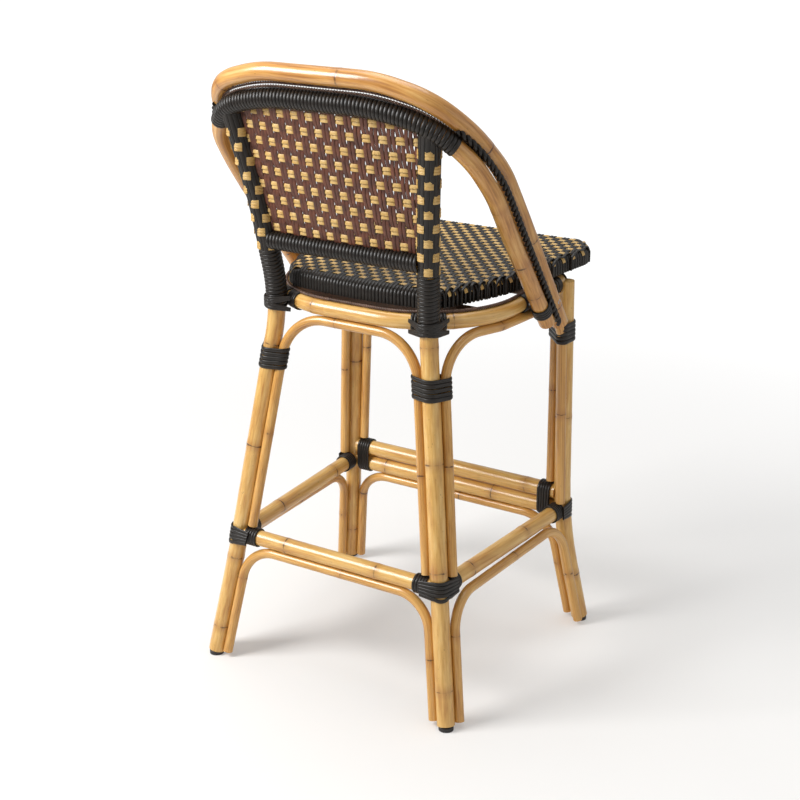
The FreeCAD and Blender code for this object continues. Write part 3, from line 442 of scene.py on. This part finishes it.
section = strand_section(strand_tree, start, 10)
shape = add(strand_tree, "GeometryNodeCurveToMesh", {"Curve": line, "Profile Curve": section, "Fill Caps": True}).outputs[0]
finish_tree(strand_tree, start, end, shape)


def strands(name, runs, facings, width, thickness, finish, closed=False):
    """Strands laid on their lines, flat side to the way that they face."""
    piece = lines_mesh(name, runs, facings, closed)
    return make(piece, strand_tree, {"Width": width / 1000, "Thickness": thickness / 1000, "Material": finish})


def tight_loop(circles, grow, count=56):
    """A band pulled tight round circles (x, y, radius): points on it and the way they face."""
    angles = np.linspace(0, 2 * math.pi, 96, endpoint=False)
    cloud = np.concatenate([np.stack([x + (r + grow) * np.cos(angles), y + (r + grow) * np.sin(angles)], 1)
                            for x, y, r in circles])
    hull, order = [], cloud[np.lexsort((cloud[:, 1], cloud[:, 0]))]
    for sweep in (order, order[::-1]):
        chain = []
        for p in sweep:
            while len(chain) > 1 and np.cross(chain[-1] - chain[-2], p - chain[-1]) <= 0:
                chain.pop()
            chain.append(p)
        hull += chain[:-1]
    hull = np.array(hull + hull[:1])
    lengths = np.concatenate([[0], np.cumsum(np.linalg.norm(np.diff(hull, axis=0), axis=1))])
    stops = np.linspace(0, lengths[-1], count, endpoint=False)
    loop = np.stack([np.interp(stops, lengths, hull[:, k]) for k in (0, 1)], 1)
    ahead = np.roll(loop, -1, 0) - np.roll(loop, 1, 0)
    ahead /= np.linalg.norm(ahead, axis=1)[:, None]
    return loop, np.stack([ahead[:, 1], -ahead[:, 0]], 1)


for (end, side), corners in leg_corners.items():
    runs, facings = [], []
    for number, height in enumerate(WRAP_LEVELS):
        level = height + (16 if end == "front" else 0)
        centre = line_at(corners, level)
        circles = [(centre.x, centre.y, LEG_RADIUS)]
        for place, pair in ARCHES.items():
            if (end, side) in pair:
                points = arch_lines[place] if pair[0] == (end, side) else arch_lines[place][::-1]
                share = (level - points[0].z) / (points[1].z - points[0].z)
                spot = points[0] + (points[1] - points[0]) * share
                circles.append((spot.x, spot.y, CANE_RADIUS))
        loop, facing = tight_loop(circles, 1.7)
        tilt = 0.02 * math.sin(3 * number + centre.x)
        runs.append([(x, y, level + tilt * (x - centre.x)) for x, y in loop])
        facings.append([(x, y, 0) for x, y in facing])
    piece = strands(f"wrap_leg_{end}_{side}", runs, facings, 8.0, 3.6, dark_strand, closed=True)
    fasten(piece, "dark_binding", f"leg_wrap_{end}_{side}")

# Joint wraps: where rails meet a leg, turns go round each rail's end, then round the outside of
# the leg and on to the next rail, over and over, so that screws and coped ends don't show.
def ring_of_turns(centre, run, radius, count=28):
    """One turn round a straight pole."""
    side_way = run.cross(Vector((0, 0, 1))).normalized()
    up = side_way.cross(run).normalized()
    ways = [side_way * math.cos(2 * math.pi * k / count) + up * math.sin(2 * math.pi * k / count) for k in range(count)]
    return [centre + w * radius for w in ways], ways


for (end, side), corners in leg_corners.items():
    sign = SIDES[side]
    centre = line_at(corners, 249)
    touching = [name for name, rail in RAILS.items() if (end, side) in rail[:2]]
    turns, turn_facings = [], []
    for name in touching:
        first, second, height, radius, _ = RAILS[name]
        other = second if first == (end, side) else first
        here = line_at(corners, height)
        run = (line_at(leg_corners[other], height) - here).normalized()
        if name.startswith("footrest"):
            continue
        for k in range(5):
            loop, facing = ring_of_turns(here + run * (22.5 + 5.4 * k), run, radius + 1.8)
            turns.append(loop)
            turn_facings.append(facing)
    if end == "front":
        here = line_at(corners, 262)
        loop, facing = tight_loop([(here.y, 246, 15.5), (here.y, 279.5, 15.5)], 1.8)
        for k in range(5):
            x = here.x - sign * (22.5 + 5.4 * k)
            turns.append([(x, p[0], p[1]) for p in loop])
            turn_facings.append([(0, f[0], f[1]) for f in facing])
    pieces = [strands(f"joint_turns_{end}_{side}", turns, turn_facings, 6.0, 3.6, dark_strand, closed=True)]
    # the swath round the outside of the leg, from one rail to the other
    runs, facings = [], []
    across = Vector((-sign, 0, 0))
    lengthwise = (line_at(leg_corners["front" if end == "back" else "back", side], 249) - centre).normalized()
    for k in range(5):
        lift = -12 + 6.8 * k
        here = line_at(corners, 249 + lift)
        first_out = Vector((0, 1 if end == "back" else -1, 0))
        second_out = Vector((sign, 0, 0))
        belly = -3.0 if k == 0 else 0.0
        path, ways = [], []
        for share in (1.0, 0.6, 0.25):
            path.append(here + across * (30 * share) + first_out * 19.6 + Vector((0, 0, -0.25 * lift * share)))
            ways.append(first_out)
        for step in range(13):
            way = (first_out.slerp(second_out, step / 12)).normalized()
            path.append(here + way * 18.2 + Vector((0, 0, belly * math.sin(math.pi * step / 12))))
            ways.append(way)
        for share in (0.25, 0.6, 1.0):
            path.append(here + lengthwise * (30 * share) + second_out * 19.6 + Vector((0, 0, -0.25 * lift * share)))
            ways.append(second_out)
        runs.append(path)
        facings.append(ways)
    pieces.append(strands(f"joint_swath_{end}_{side}", runs, facings, 7.2, 3.4, dark_strand))
    for piece in pieces:
        fasten(piece, "dark_binding", f"joint_wrap_{end}_{side}")

# Crossbar and its winding: a pole between the posts, close under the back panel, wound from end
# to end with dark strand, turn against turn.
wound_tree, start, end = new_tree("wound_strand", {"Radius": "Float", "Pitch": "Float", "Plies": "Int", "Width": "Float",
                                                   "Thickness": "Float", "Points": "Float", "Material": "Material"})
line = add(wound_tree, "GeometryNodeMeshToCurve", {"Mesh": start.outputs["Geometry"]}).outputs[0]
step = calculate(wound_tree, "DIVIDE", start.outputs["Pitch"], start.outputs["Points"])
line = add(wound_tree, "GeometryNodeResampleCurve", {"Curve": line, 3: step}, mode="LENGTH").outputs[0]
copies = add(wound_tree, "GeometryNodeDuplicateElements", {"Geometry": line, "Amount": start.outputs["Plies"]}, domain="SPLINE")
share = calculate(wound_tree, "DIVIDE", copies.outputs["Duplicate Index"], start.outputs["Plies"])
length = add(wound_tree, "GeometryNodeSplineParameter").outputs["Length"]
turns = calculate(wound_tree, "ADD", calculate(wound_tree, "DIVIDE", length, start.outputs["Pitch"]), share)
angle = calculate(wound_tree, "MULTIPLY", turns, 2 * math.pi)
normal = add(wound_tree, "GeometryNodeInputNormal").outputs[0]
tangent = add(wound_tree, "GeometryNodeInputTangent").outputs[0]
other = add(wound_tree, "ShaderNodeVectorMath", {0: tangent, 1: normal}, operation="CROSS_PRODUCT").outputs[0]
part_a = add(wound_tree, "ShaderNodeVectorMath", {0: normal, "Scale": calculate(wound_tree, "COSINE", angle)}, operation="SCALE")
part_b = add(wound_tree, "ShaderNodeVectorMath", {0: other, "Scale": calculate(wound_tree, "SINE", angle)}, operation="SCALE")
radial = add(wound_tree, "ShaderNodeVectorMath", {0: part_a.outputs[0], 1: part_b.outputs[0]}, operation="ADD").outputs[0]
kept = add(wound_tree, "GeometryNodeStoreNamedAttribute", {"Geometry": copies.outputs[0], "Name": "facing"},
           data_type="FLOAT_VECTOR")
wound_tree.links.new(radial, kept.inputs["Value"])
faces = add(wound_tree, "GeometryNodeInputNamedAttribute", {"Name": "facing"}, data_type="FLOAT_VECTOR").outputs[0]
offset = add(wound_tree, "ShaderNodeVectorMath", {0: faces, "Scale": start.outputs["Radius"]}, operation="SCALE").outputs[0]
moved = add(wound_tree, "GeometryNodeSetPosition", {"Geometry": kept.outputs[0], "Offset": offset}).outputs[0]
moved = add(wound_tree, "GeometryNodeSetCurveNormal", {"Curve": moved, "Normal": faces}, mode="FREE").outputs[0]
moved = add(wound_tree, "GeometryNodeStoreNamedAttribute", {"Geometry": moved, "Name": "along", "Value": length}).outputs[0]
section = strand_section(wound_tree, start, 8)
shape = add(wound_tree, "GeometryNodeCurveToMesh", {"Curve": moved, "Profile Curve": section, "Fill Caps": True}).outputs[0]
finish_tree(wound_tree, start, end, shape)


def winding(name, paths, radius, pitch, width, thickness, finish, plies=1, points=18.0, closed=False):
    """Strand wound round a pole, or plies twisted round each other when the radius is small."""
    piece = lines_mesh(name, paths, closed=closed)
    return make(piece, wound_tree, {"Radius": radius / 1000, "Pitch": pitch / 1000, "Plies": plies, "Width": width / 1000,
                                    "Thickness": thickness / 1000, "Points": points, "Material": finish})


CROSSBAR = [(-154, 212, 815), (154, 212, 815)]
pole("pole_crossbar", [(-145, 212, 815), (145, 212, 815)], 13, (0.3, 0.7), honey, "rattan_pole", "back_crossbar")
piece = winding("winding_crossbar", [CROSSBAR], 14.8, 7.0, 7.3, 3.6, dark_strand)
fasten(piece, "dark_binding", "crossbar_wrap")

# Hoop winding: the inner hoop is wound over the back and round both shoulders.
hoop_top = [p for p in inner_line if p.z > 1018]
piece = winding("winding_hoop", [hoop_top], 16.0, 7.0, 7.3, 3.2, dark_strand)
fasten(piece, "dark_binding", "hoop_wrap")

# Post wraps: the lower part of each post is wound; above the crossbar fine strands run up it
# and short straw-coloured strips pass over them in staggered columns.
straw_strand = strand_finish("straw_strand", "D6B270", "C49C56", 0.42, 0.1, lines=1800, grain=0.22)


def sampled(path, low, high, step):
    """A line's points between two heights, at an even step, with its direction."""
    spots = np.array([tuple(p) for p in path])
    order = np.argsort(spots[:, 2])
    levels = np.arange(low, high, step)
    return [Vector([float(np.interp(z, spots[order, 2], spots[order, k])) for k in (0, 1)] + [float(z)]) for z in levels]


POST_COLUMNS = 8
for side, sign in SIDES.items():
    path = leg_lines["back", side]
    lower = sampled(path, 690, 800, 6)
    pieces = [winding(f"post_winding_{side}", [lower], 17.9, 7.0, 7.3, 3.8, dark_strand)]
    upper = sampled(path, 794, 1044, 6)
    runs, facings = [], []
    for k in range(13):
        angle = 2 * math.pi * k / 13
        way = Vector((math.cos(angle), math.sin(angle), 0))
        runs.append([p + way * 17.6 for p in upper])
        facings.append([way] * len(upper))
    pieces.append(strands(f"post_strands_{side}", runs, facings, 9.2, 3.4, dark_strand))
    runs, facings = [], []
    for column in range(POST_COLUMNS):
        for number in range(5):
            level = (1008 if column % 2 == 0 else 982.6) - 50.8 * number
            if level < 802:
                continue
            middle = sampled(path, level, level + 1, 2)[0]
            for strip in (-1, 0, 1):
                run, ways = [], []
                for step in range(9):
                    angle = math.radians(121 + 360 * column / POST_COLUMNS - 22 + 44 * step / 8)
                    way = Vector((-sign * math.cos(angle), math.sin(angle), 0))
                    swell = 19.2 + 0.6 * math.sin(math.pi * step / 8)
                    run.append(middle + way * swell + Vector((0, 0, 5 * strip)))
                    ways.append(way)
                runs.append(run)
                facings.append(ways)
    pieces.append(strands(f"post_strips_{side}", runs, facings, 5.2, 1.7, straw_strand))
    for piece in pieces:
        fasten(piece, "dark_binding", f"post_wrap_{side}")

# Back panel: a plain weave. Fibrous brown strands run up in pairs from the crossbar to the hoop,
# and flat straw strips pass over and under them from post to post.
PANEL = [(824, 160, 207, 214), (829, 163, 208, 215), (948, 178, 232, 249), (1070, 188, 259, 279), (1078, 189, 261, 281)]
PANEL_COLUMNS = 24
PANEL_PITCH = (14.5, 15.1)
PANEL_ROW = 26.3
brown_strand = strand_finish("brown_strand", "4E2616", "6E3B24", 0.5, 0.05, lines=3000, grain=0.85)


def on_panel(column, height, out=0.0):
    """A point of the panel: columns count from the middle, and spread a little towards the top."""
    levels = [s[0] for s in PANEL]
    half = np.interp(height, levels, [s[1] for s in PANEL])
    at_post = np.interp(height, levels, [s[2] for s in PANEL])
    middle = np.interp(height, levels, [s[3] for s in PANEL])
    x = column * np.interp(height, (levels[0], levels[-1]), PANEL_PITCH)
    return Vector((x, middle + (at_post - middle) * (x / half) ** 2 + out, height))


def weave_wave(turns):
    """Over one crossing and under the next: flat on top, quick between."""
    return max(-1.0, min(1.0, 2.2 * math.cos(math.pi * turns)))


out_way = Vector((0, 1, 0.12)).normalized()
runs, facings = [], []
for column in range(PANEL_COLUMNS):
    middle = column - (PANEL_COLUMNS - 1) / 2
    for half in (-1, 1):
        run = []
        for height in np.arange(826, 1076, 3.25):
            wave = weave_wave((height - 840) / PANEL_ROW + column)
            run.append(on_panel(middle + half * 0.245, height, 1.1 * wave))
        runs.append(run)
        facings.append([out_way] * len(run))
pieces = [strands("panel_uprights", runs, facings, 7.7, 2.2, brown_strand)]
runs, facings = [], []
for row in range(10):
    height = 840 + PANEL_ROW * row
    if height > 1072:
        continue
    for shift in (-3.4, 3.4):
        run = []
        for step in range(PANEL_COLUMNS * 6 + 1):
            column = step / 6 - 0.5
            run.append(on_panel(column - (PANEL_COLUMNS - 1) / 2, height + shift, -1.35 * weave_wave(column + row)))
        runs.append(run)
        facings.append([out_way] * len(run))
pieces.append(strands("panel_strips", runs, facings, 6.9, 1.0, straw_strand))
for piece in pieces:
    fasten(piece, "panel_weave", "back_weave")

# Seat: dark strands in pairs from front to back and straw strips from side to side, drawn over
# the frame's rounded edge and down. The frame, its slats and two bearers are underneath.
SEAT = [(0, 188, 0), (156, 166, 0), (216, 10, 0), (250, -302, 0), (-250, -302, 0), (-216, 10, 0), (-156, 166, 0)]
SEAT_BENDS = [800, 60, 400, 62, 62, 400, 60]
SEAT_TOP, SEAT_LOW, SEAT_EDGE = 754, 722.5, 15
COLUMN, ROW = 13.75, 16.7
seat_outline = np.array([tuple(p)[:2] for p in rounded(SEAT, SEAT_BENDS, closed=True)])


def seat_span(axis, value):
    """The outline's two edges on a line across the seat."""
    a, b = seat_outline, np.roll(seat_outline, -1, 0)
    cross = (a[:, axis] > value) != (b[:, axis] > value)
    share = (value - a[cross, axis]) / (b[cross, axis] - a[cross, axis])
    hits = a[cross, 1 - axis] + share * (b[cross, 1 - axis] - a[cross, 1 - axis])
    return (hits.min(), hits.max()) if len(hits) > 1 else None


def inset_outline(inset):
    """The seat's outline moved in, with its outward ways."""
    ahead = np.roll(seat_outline, -1, 0) - np.roll(seat_outline, 1, 0)
    ahead /= np.linalg.norm(ahead, axis=1)[:, None]
    ways = [Vector((-y, x, 0)) for x, y in ahead]
    spots = [Vector((x, y, 0)) for x, y in seat_outline]
    return [(p - w * inset, w) for p, w in zip(spots, ways)]


def over_seat(low, high, step=2.6, inset=2.4):
    """A strand's section over the seat: up one edge, across the top, down the other."""
    low, high = low + inset, high - inset
    r = min(SEAT_EDGE, (high - low) / 2 - 1)
    path = [(low, z, -1, 0) for z in np.arange(SEAT_LOW, SEAT_TOP - r, 4)]
    for k in range(9):
        a = math.pi / 2 * k / 8
        path.append((low + r - r * math.cos(a), SEAT_TOP - r + r * math.sin(a), -math.cos(a), math.sin(a)))
    path += [(s, SEAT_TOP, 0, 1) for s in np.arange(low + r + step, high - r - step / 2, step)]
    for k in range(9):
        a = math.pi / 2 * k / 8
        path.append((high - r + r * math.sin(a), SEAT_TOP - r + r * math.cos(a), math.sin(a), math.cos(a)))
    return path + [(high, z, 1, 0) for z in np.arange(SEAT_TOP - r - 4, SEAT_LOW - 1, -4)]


FIRST_ROW = 166 - 14.5
rows = [FIRST_ROW - ROW * j for j in range(28) if FIRST_ROW - ROW * j > -298]
columns = [COLUMN * (i - 17) for i in range(35)]
halves = {"left": ([], []), "right": ([], [])}
for i, x in enumerate(columns):
    runs, facings = halves["left" if x > 0 else "right"]
    for half in (-3.45, 3.45):
        span = seat_span(0, x + half)
        if not span:
            continue
        run, ways = [], []
        for s, z, out, up in over_seat(*span):
            wave = 1.3 * weave_wave((s - FIRST_ROW) / ROW + i)
            if s > FIRST_ROW + 8 or up < 0.5:
                wave = 0.4
            run.append((x + half, s + out * wave, z + up * wave))
            ways.append((0, out, up))
        runs.append(run)
        facings.append(ways)
pieces = [strands(f"seat_lengthwise_{name}", *half, 7.0, 3.0, dark_strand) for name, half in halves.items()]
runs, facings, edge_runs, edge_ways = [], [], [], []
for j, y in enumerate(rows):
    span = seat_span(1, y)
    for shift in (-2.7, 2.7):
        run, ways = [], []
        for s, z, out, up in over_seat(*span, inset=1.6):
            if z < 741:
                continue
            wave = -1.7 * weave_wave(s / COLUMN + 17 + j)
            if up < 0.75:
                wave = 0.9 if j % 2 else -2.2
            run.append((s + out * wave, y + shift, z + up * wave))
            ways.append((out, 0, up))
        runs.append(run)
        facings.append(ways)
    for shift in (-ROW / 2, 0):
        span = seat_span(1, y + shift)
        covered = 747 if shift == 0 and j % 2 else SEAT_TOP + 1
        for side_way in (-1, 1):
            part = [p for p in over_seat(*span, inset=2.2) if p[1] < covered and (p[2] * side_way > 0.12 or (
                    p[3] == 1 and side_way * p[0] > side_way * (span[0] if side_way < 0 else span[1]) - 26))]
            if len(part) > 2:
                edge_runs.append([(s, y + shift, z) for s, z, out, up in part])
                edge_ways.append([(out, 0, up) for s, z, out, up in part])
backing, backing_ways = [], []
for level in (725.5, 732.5, 739.5):
    backing.append([])
    backing_ways.append([])
    for spot, way in inset_outline(6):
        backing[-1].append(spot + Vector((0, 0, level)))
        backing_ways[-1].append(way)
pieces.append(strands("seat_edge_backing", backing, backing_ways, 7.2, 2.6, dark_strand, closed=True))
pieces.append(strands("seat_strips", runs, facings, 5.6, 1.4, straw_strand))
pieces.append(strands("seat_edge_turns", edge_runs, edge_ways, 8.6, 3.0, dark_strand))
for piece in pieces:
    fasten(piece, "seat_weave", "seat_weave")

# Lashings: turns round the ring beside each leg, and round the hoops' lower ends.
ring_spots = np.array([tuple(p) for p in ring_line])
for end, side in leg_corners:
    sign = SIDES[side]
    centre = Vector((158.5 * sign, 191.5, 700)) if end == "back" else Vector((234 * sign, -176.5, 700))
    runs, facings = [], []
    closed_ring = [Vector(p) for p in ring_spots] + [Vector(ring_spots[0])]
    dense = [a.lerp(b, k / 40) for a, b in zip(closed_ring, closed_ring[1:]) for k in range(40)]
    reach = [(p - centre).length for p in dense]
    for distance in (33.5, 36.2, 39.6, 43.5) if end == "back" else (22, 26.6, 31.6, 36.8):
        for k in range(len(dense)):
            if (reach[k - 1] - distance) * (reach[k] - distance) < 0:
                run = (dense[k] - dense[k - 1]).normalized()
                loop, ways = ring_of_turns(dense[k], run, 15.8)
                runs.append(loop)
                facings.append(ways)
    pieces = [strands(f"lash_ring_{end}_{side}", runs, facings, 6.0, 3.4, dark_strand, closed=True)]
    if end == "back":
        # crossed strands over the post, from the ring on one side of it to the ring on the other
        outward = Vector((centre.x - 53 * sign, centre.y - 16, 0)).normalized()
        along = Vector((-outward.y, outward.x, 0))
        crossings, crossing_ways = [], []
        for lean in (-1, 1):
            for lift in (-7, 0, 7):
                run, ways = [], []
                for across in np.linspace(-34, 34, 25):
                    bulge = math.sqrt(22.4 ** 2 - min(abs(across), 18) ** 2)
                    out = bulge - 1.55 * max(0, abs(across) - 18)
                    spot = along * across + outward * out
                    drop = lift * (1 - abs(across) / 38) + lean * across * 0.3
                    run.append(centre + spot + Vector((0, 0, drop - 1 + 0.5 * lean)))
                    ways.append((along * across * 0.6 + outward * bulge).normalized())
                crossings.append(run)
                crossing_ways.append(ways)
        pieces.append(strands(f"lash_cross_{end}_{side}", crossings, crossing_ways, 6.0, 3.0, dark_strand))
    for piece in pieces:
        fasten(piece, "dark_binding", f"ring_lash_{end}_{side}")
for side, sign in SIDES.items():
    toe = Vector(mirror(INNER_HOOP[-1:], sign)[0])
    run = (Vector(mirror(INNER_HOOP[-2:-1], sign)[0]) - toe).normalized()
    loops = [ring_of_turns(toe + run * (30.5 + 5.6 * k), run, 16.5) for k in range(4)]
    for y in (-42, -36.6, -31.2, -25.8, -20.4, -15):
        loops.append(ring_of_turns(Vector(((219 + 8 * (y + 200) / 390) * sign, y, 700)), Vector((0, 1, 0)), 15.8))
    piece = strands(f"lash_arm_{side}", [l[0] for l in loops], [l[1] for l in loops], 6.2, 3.4, dark_strand, closed=True)
    fasten(piece, "dark_binding", f"arm_lash_{side}")

# Cords: a two-ply twisted cord lies in the groove between the hoops, thick along the arms and
# thin over the top; a thinner brown one lies on the seat ring, just under the weave.
middle = [tuple((Vector(a) + Vector(b)) / 2) for a, b in zip(OUTER_HOOP, INNER_HOOP)]
middle_bends = [(a + b) / 2 for a, b in zip(OUTER_HOOP_BENDS, INNER_HOOP_BENDS)]
arm_paths = []
for side, sign in SIDES.items():
    arm = [(x + 11.3, y, z) for x, y, z in middle[1:]]
    arm_paths.append([p for p in rounded(mirror(arm, sign), middle_bends[2:]) if abs(p.x) > 225])
crown_paths = []
for share in (0.455, 0.59):
    between = [tuple(Vector(a).lerp(Vector(b), share)) for a, b in zip(INNER_HOOP, OUTER_HOOP)]
    turns = [a + (b - a) * share for a, b in zip(INNER_HOOP_BENDS, OUTER_HOOP_BENDS)]
    crown_paths.append([p for p in whole_hoop(between, turns) if p.z > 985])
brown_cord = strand_finish("brown_cord", "4A3224", "6E5140", 0.45, 0.1, lines=3000, grain=0.5)
pieces = [winding("cord_arms", arm_paths, 3.2, 26, 7.4, 6.6, dark_strand, plies=2, points=20.0),
          winding("cord_crown", crown_paths, 1.3, 11, 2.9, 2.5, brown_cord, plies=2, points=14.0)]
for piece in pieces:
    fasten(piece, "dark_binding", "hoop_cord")

above_ring = [point + Vector((0, 0, 17.3)) for point in ring_line]
piece = winding("cord_seat_edge", [above_ring], 1.5, 14, 3.2, 3.0, brown_cord, plies=3, points=14.0, closed=True)
fasten(piece, "brown_cord", "seat_edge_cord")

# Hidden timber, screws, nails and the moulded glides keep their shapes and get their finishes.
# The timber's dark brown is painted shade, so that it sinks into the dark under the seat; the noise over it is its
# grain.
timber, tree, shader = new_finish("planed_hardwood", 0.6)
place = add(tree, "ShaderNodeTexCoord").outputs["Object"]
spot = add(tree, "ShaderNodeMapping", {"Vector": place, "Scale": (0.08, 1, 1)}).outputs[0]
grain = add(tree, "ShaderNodeTexNoise", {"Vector": spot, "Scale": 300.0, "Detail": 4.0}).outputs["Fac"]
tree.links.new(blend(tree, grain, paint("3A2617"), paint("5A3C24")), shader.inputs["Base Color"])
moulded, tree, shader = new_finish("moulded_black", 0.5)
place = add(tree, "ShaderNodeTexCoord").outputs["Object"]
grit = add(tree, "ShaderNodeTexNoise", {"Vector": place, "Scale": 900.0}).outputs["Fac"]
tree.links.new(blend(tree, grit, paint("18171A"), paint("2C2A2A")), shader.inputs["Base Color"])
zinc, tree, shader = new_finish("zinc_plate", 0.32)
shader.inputs["Metallic"].default_value = 1.0
place = add(tree, "ShaderNodeTexCoord").outputs["Object"]
bloom = add(tree, "ShaderNodeTexNoise", {"Vector": place, "Scale": 500.0}).outputs["Fac"]
tree.links.new(blend(tree, bloom, paint("A9ABAE"), paint("C9CBCD")), shader.inputs["Base Color"])
FRAME_POLE = "seat_frame"
for name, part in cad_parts.items():
    finish = None
    if name.endswith("screws") or name == "glide_nails":
        finish = zinc
    elif name.startswith("foot_glide"):
        finish = moulded
    elif name.startswith("seat_bearer") or name in (FRAME_POLE, "seat_slats"):
        finish = timber
    if finish:
        part.data.materials.clear()
        part.data.materials.append(finish)

# The floor, the light and the camera.
target = Vector((0, 0.030, 0.4886))
spot = Vector((-1.4232, 2.3031, 1.4739))
eye = bpy.data.cameras.new("camera")
camera = bpy.data.objects.new("camera", eye)
bpy.context.scene.collection.objects.link(camera)
camera.location = spot
camera.rotation_euler = (target - spot).to_track_quat("-Z", "Y").to_euler()
eye.sensor_width = 36
eye.lens = 1526.66 / 800 * 36
bpy.context.scene.camera = camera

floor_mesh = bpy.data.meshes.new("floor")
floor_mesh.from_pydata([(-30, -30, 0), (30, -30, 0), (30, 30, 0), (-30, 30, 0)], [], [(0, 1, 2, 3)])
floor = bpy.data.objects.new("floor", floor_mesh)
bpy.context.scene.collection.objects.link(floor)
paper, tree, shader = new_finish("pale_floor", 0.9, specular=0.1)
shader.inputs["Base Color"].default_value = paint("EDEBE8")
glow = add(tree, "ShaderNodeEmission", {"Color": paint("FFFFFF"), "Strength": 1.15}).outputs[0]
seen = add(tree, "ShaderNodeLightPath").outputs["Is Camera Ray"]
place = add(tree, "ShaderNodeTexCoord").outputs["Object"]
away = add(tree, "ShaderNodeVectorMath", {0: place}, operation="LENGTH").outputs["Value"]
clear = add(tree, "ShaderNodeMapRange", {"Value": away, "From Min": 0.5, "From Max": 2.6, "To Min": 0.22, "To Max": 0.97}).outputs[0]
mix = add(tree, "ShaderNodeMixShader", {0: calculate(tree, "MULTIPLY", seen, clear), 1: shader.outputs[0], 2: glow})
tree.links.new(mix.outputs[0], tree.nodes["Material Output"].inputs["Surface"])
floor_mesh.materials.append(paper)

world = bpy.data.worlds.new("studio")
bpy.context.scene.world = world
world.use_nodes = True
tree = world.node_tree
air = tree.nodes["Background"]
paths = add(tree, "ShaderNodeLightPath").outputs
direct = calculate(tree, "MAXIMUM", paths["Is Camera Ray"], calculate(tree, "MULTIPLY", paths["Is Glossy Ray"], 0.35))
air.inputs["Color"].default_value = (1, 1, 1, 1)
level = add(tree, "ShaderNodeMapRange", {"Value": direct, "To Min": 0.34, "To Max": 1.0}).outputs[0]
tree.links.new(level, air.inputs["Strength"])

ahead = (target - spot).normalized()
to_right = ahead.cross(Vector((0, 0, 1))).normalized()
LAMPS = {"key": (-2.2, -0.7, 2.2, 1.2, 84), "fill": (2.2, -1.4, 1.2, 2.0, 7), "top": (0.0, 0.3, 3.0, 1.8, 30)}
for name, (across, beyond, height, width, power) in LAMPS.items():
    lamp = bpy.data.lights.new(name, "AREA")
    lamp.size = width
    lamp.energy = power
    light = bpy.data.objects.new(name, lamp)
    bpy.context.scene.collection.objects.link(light)
    flat_ahead = Vector((ahead.x, ahead.y, 0)).normalized()
    light.location = Vector((0, 0, height)) + to_right * across + flat_ahead * beyond
    light.rotation_euler = (Vector((0, 0, 0.55)) - light.location).to_track_quat("-Z", "Y").to_euler()

bpy.context.scene.view_settings.view_transform = "Standard"
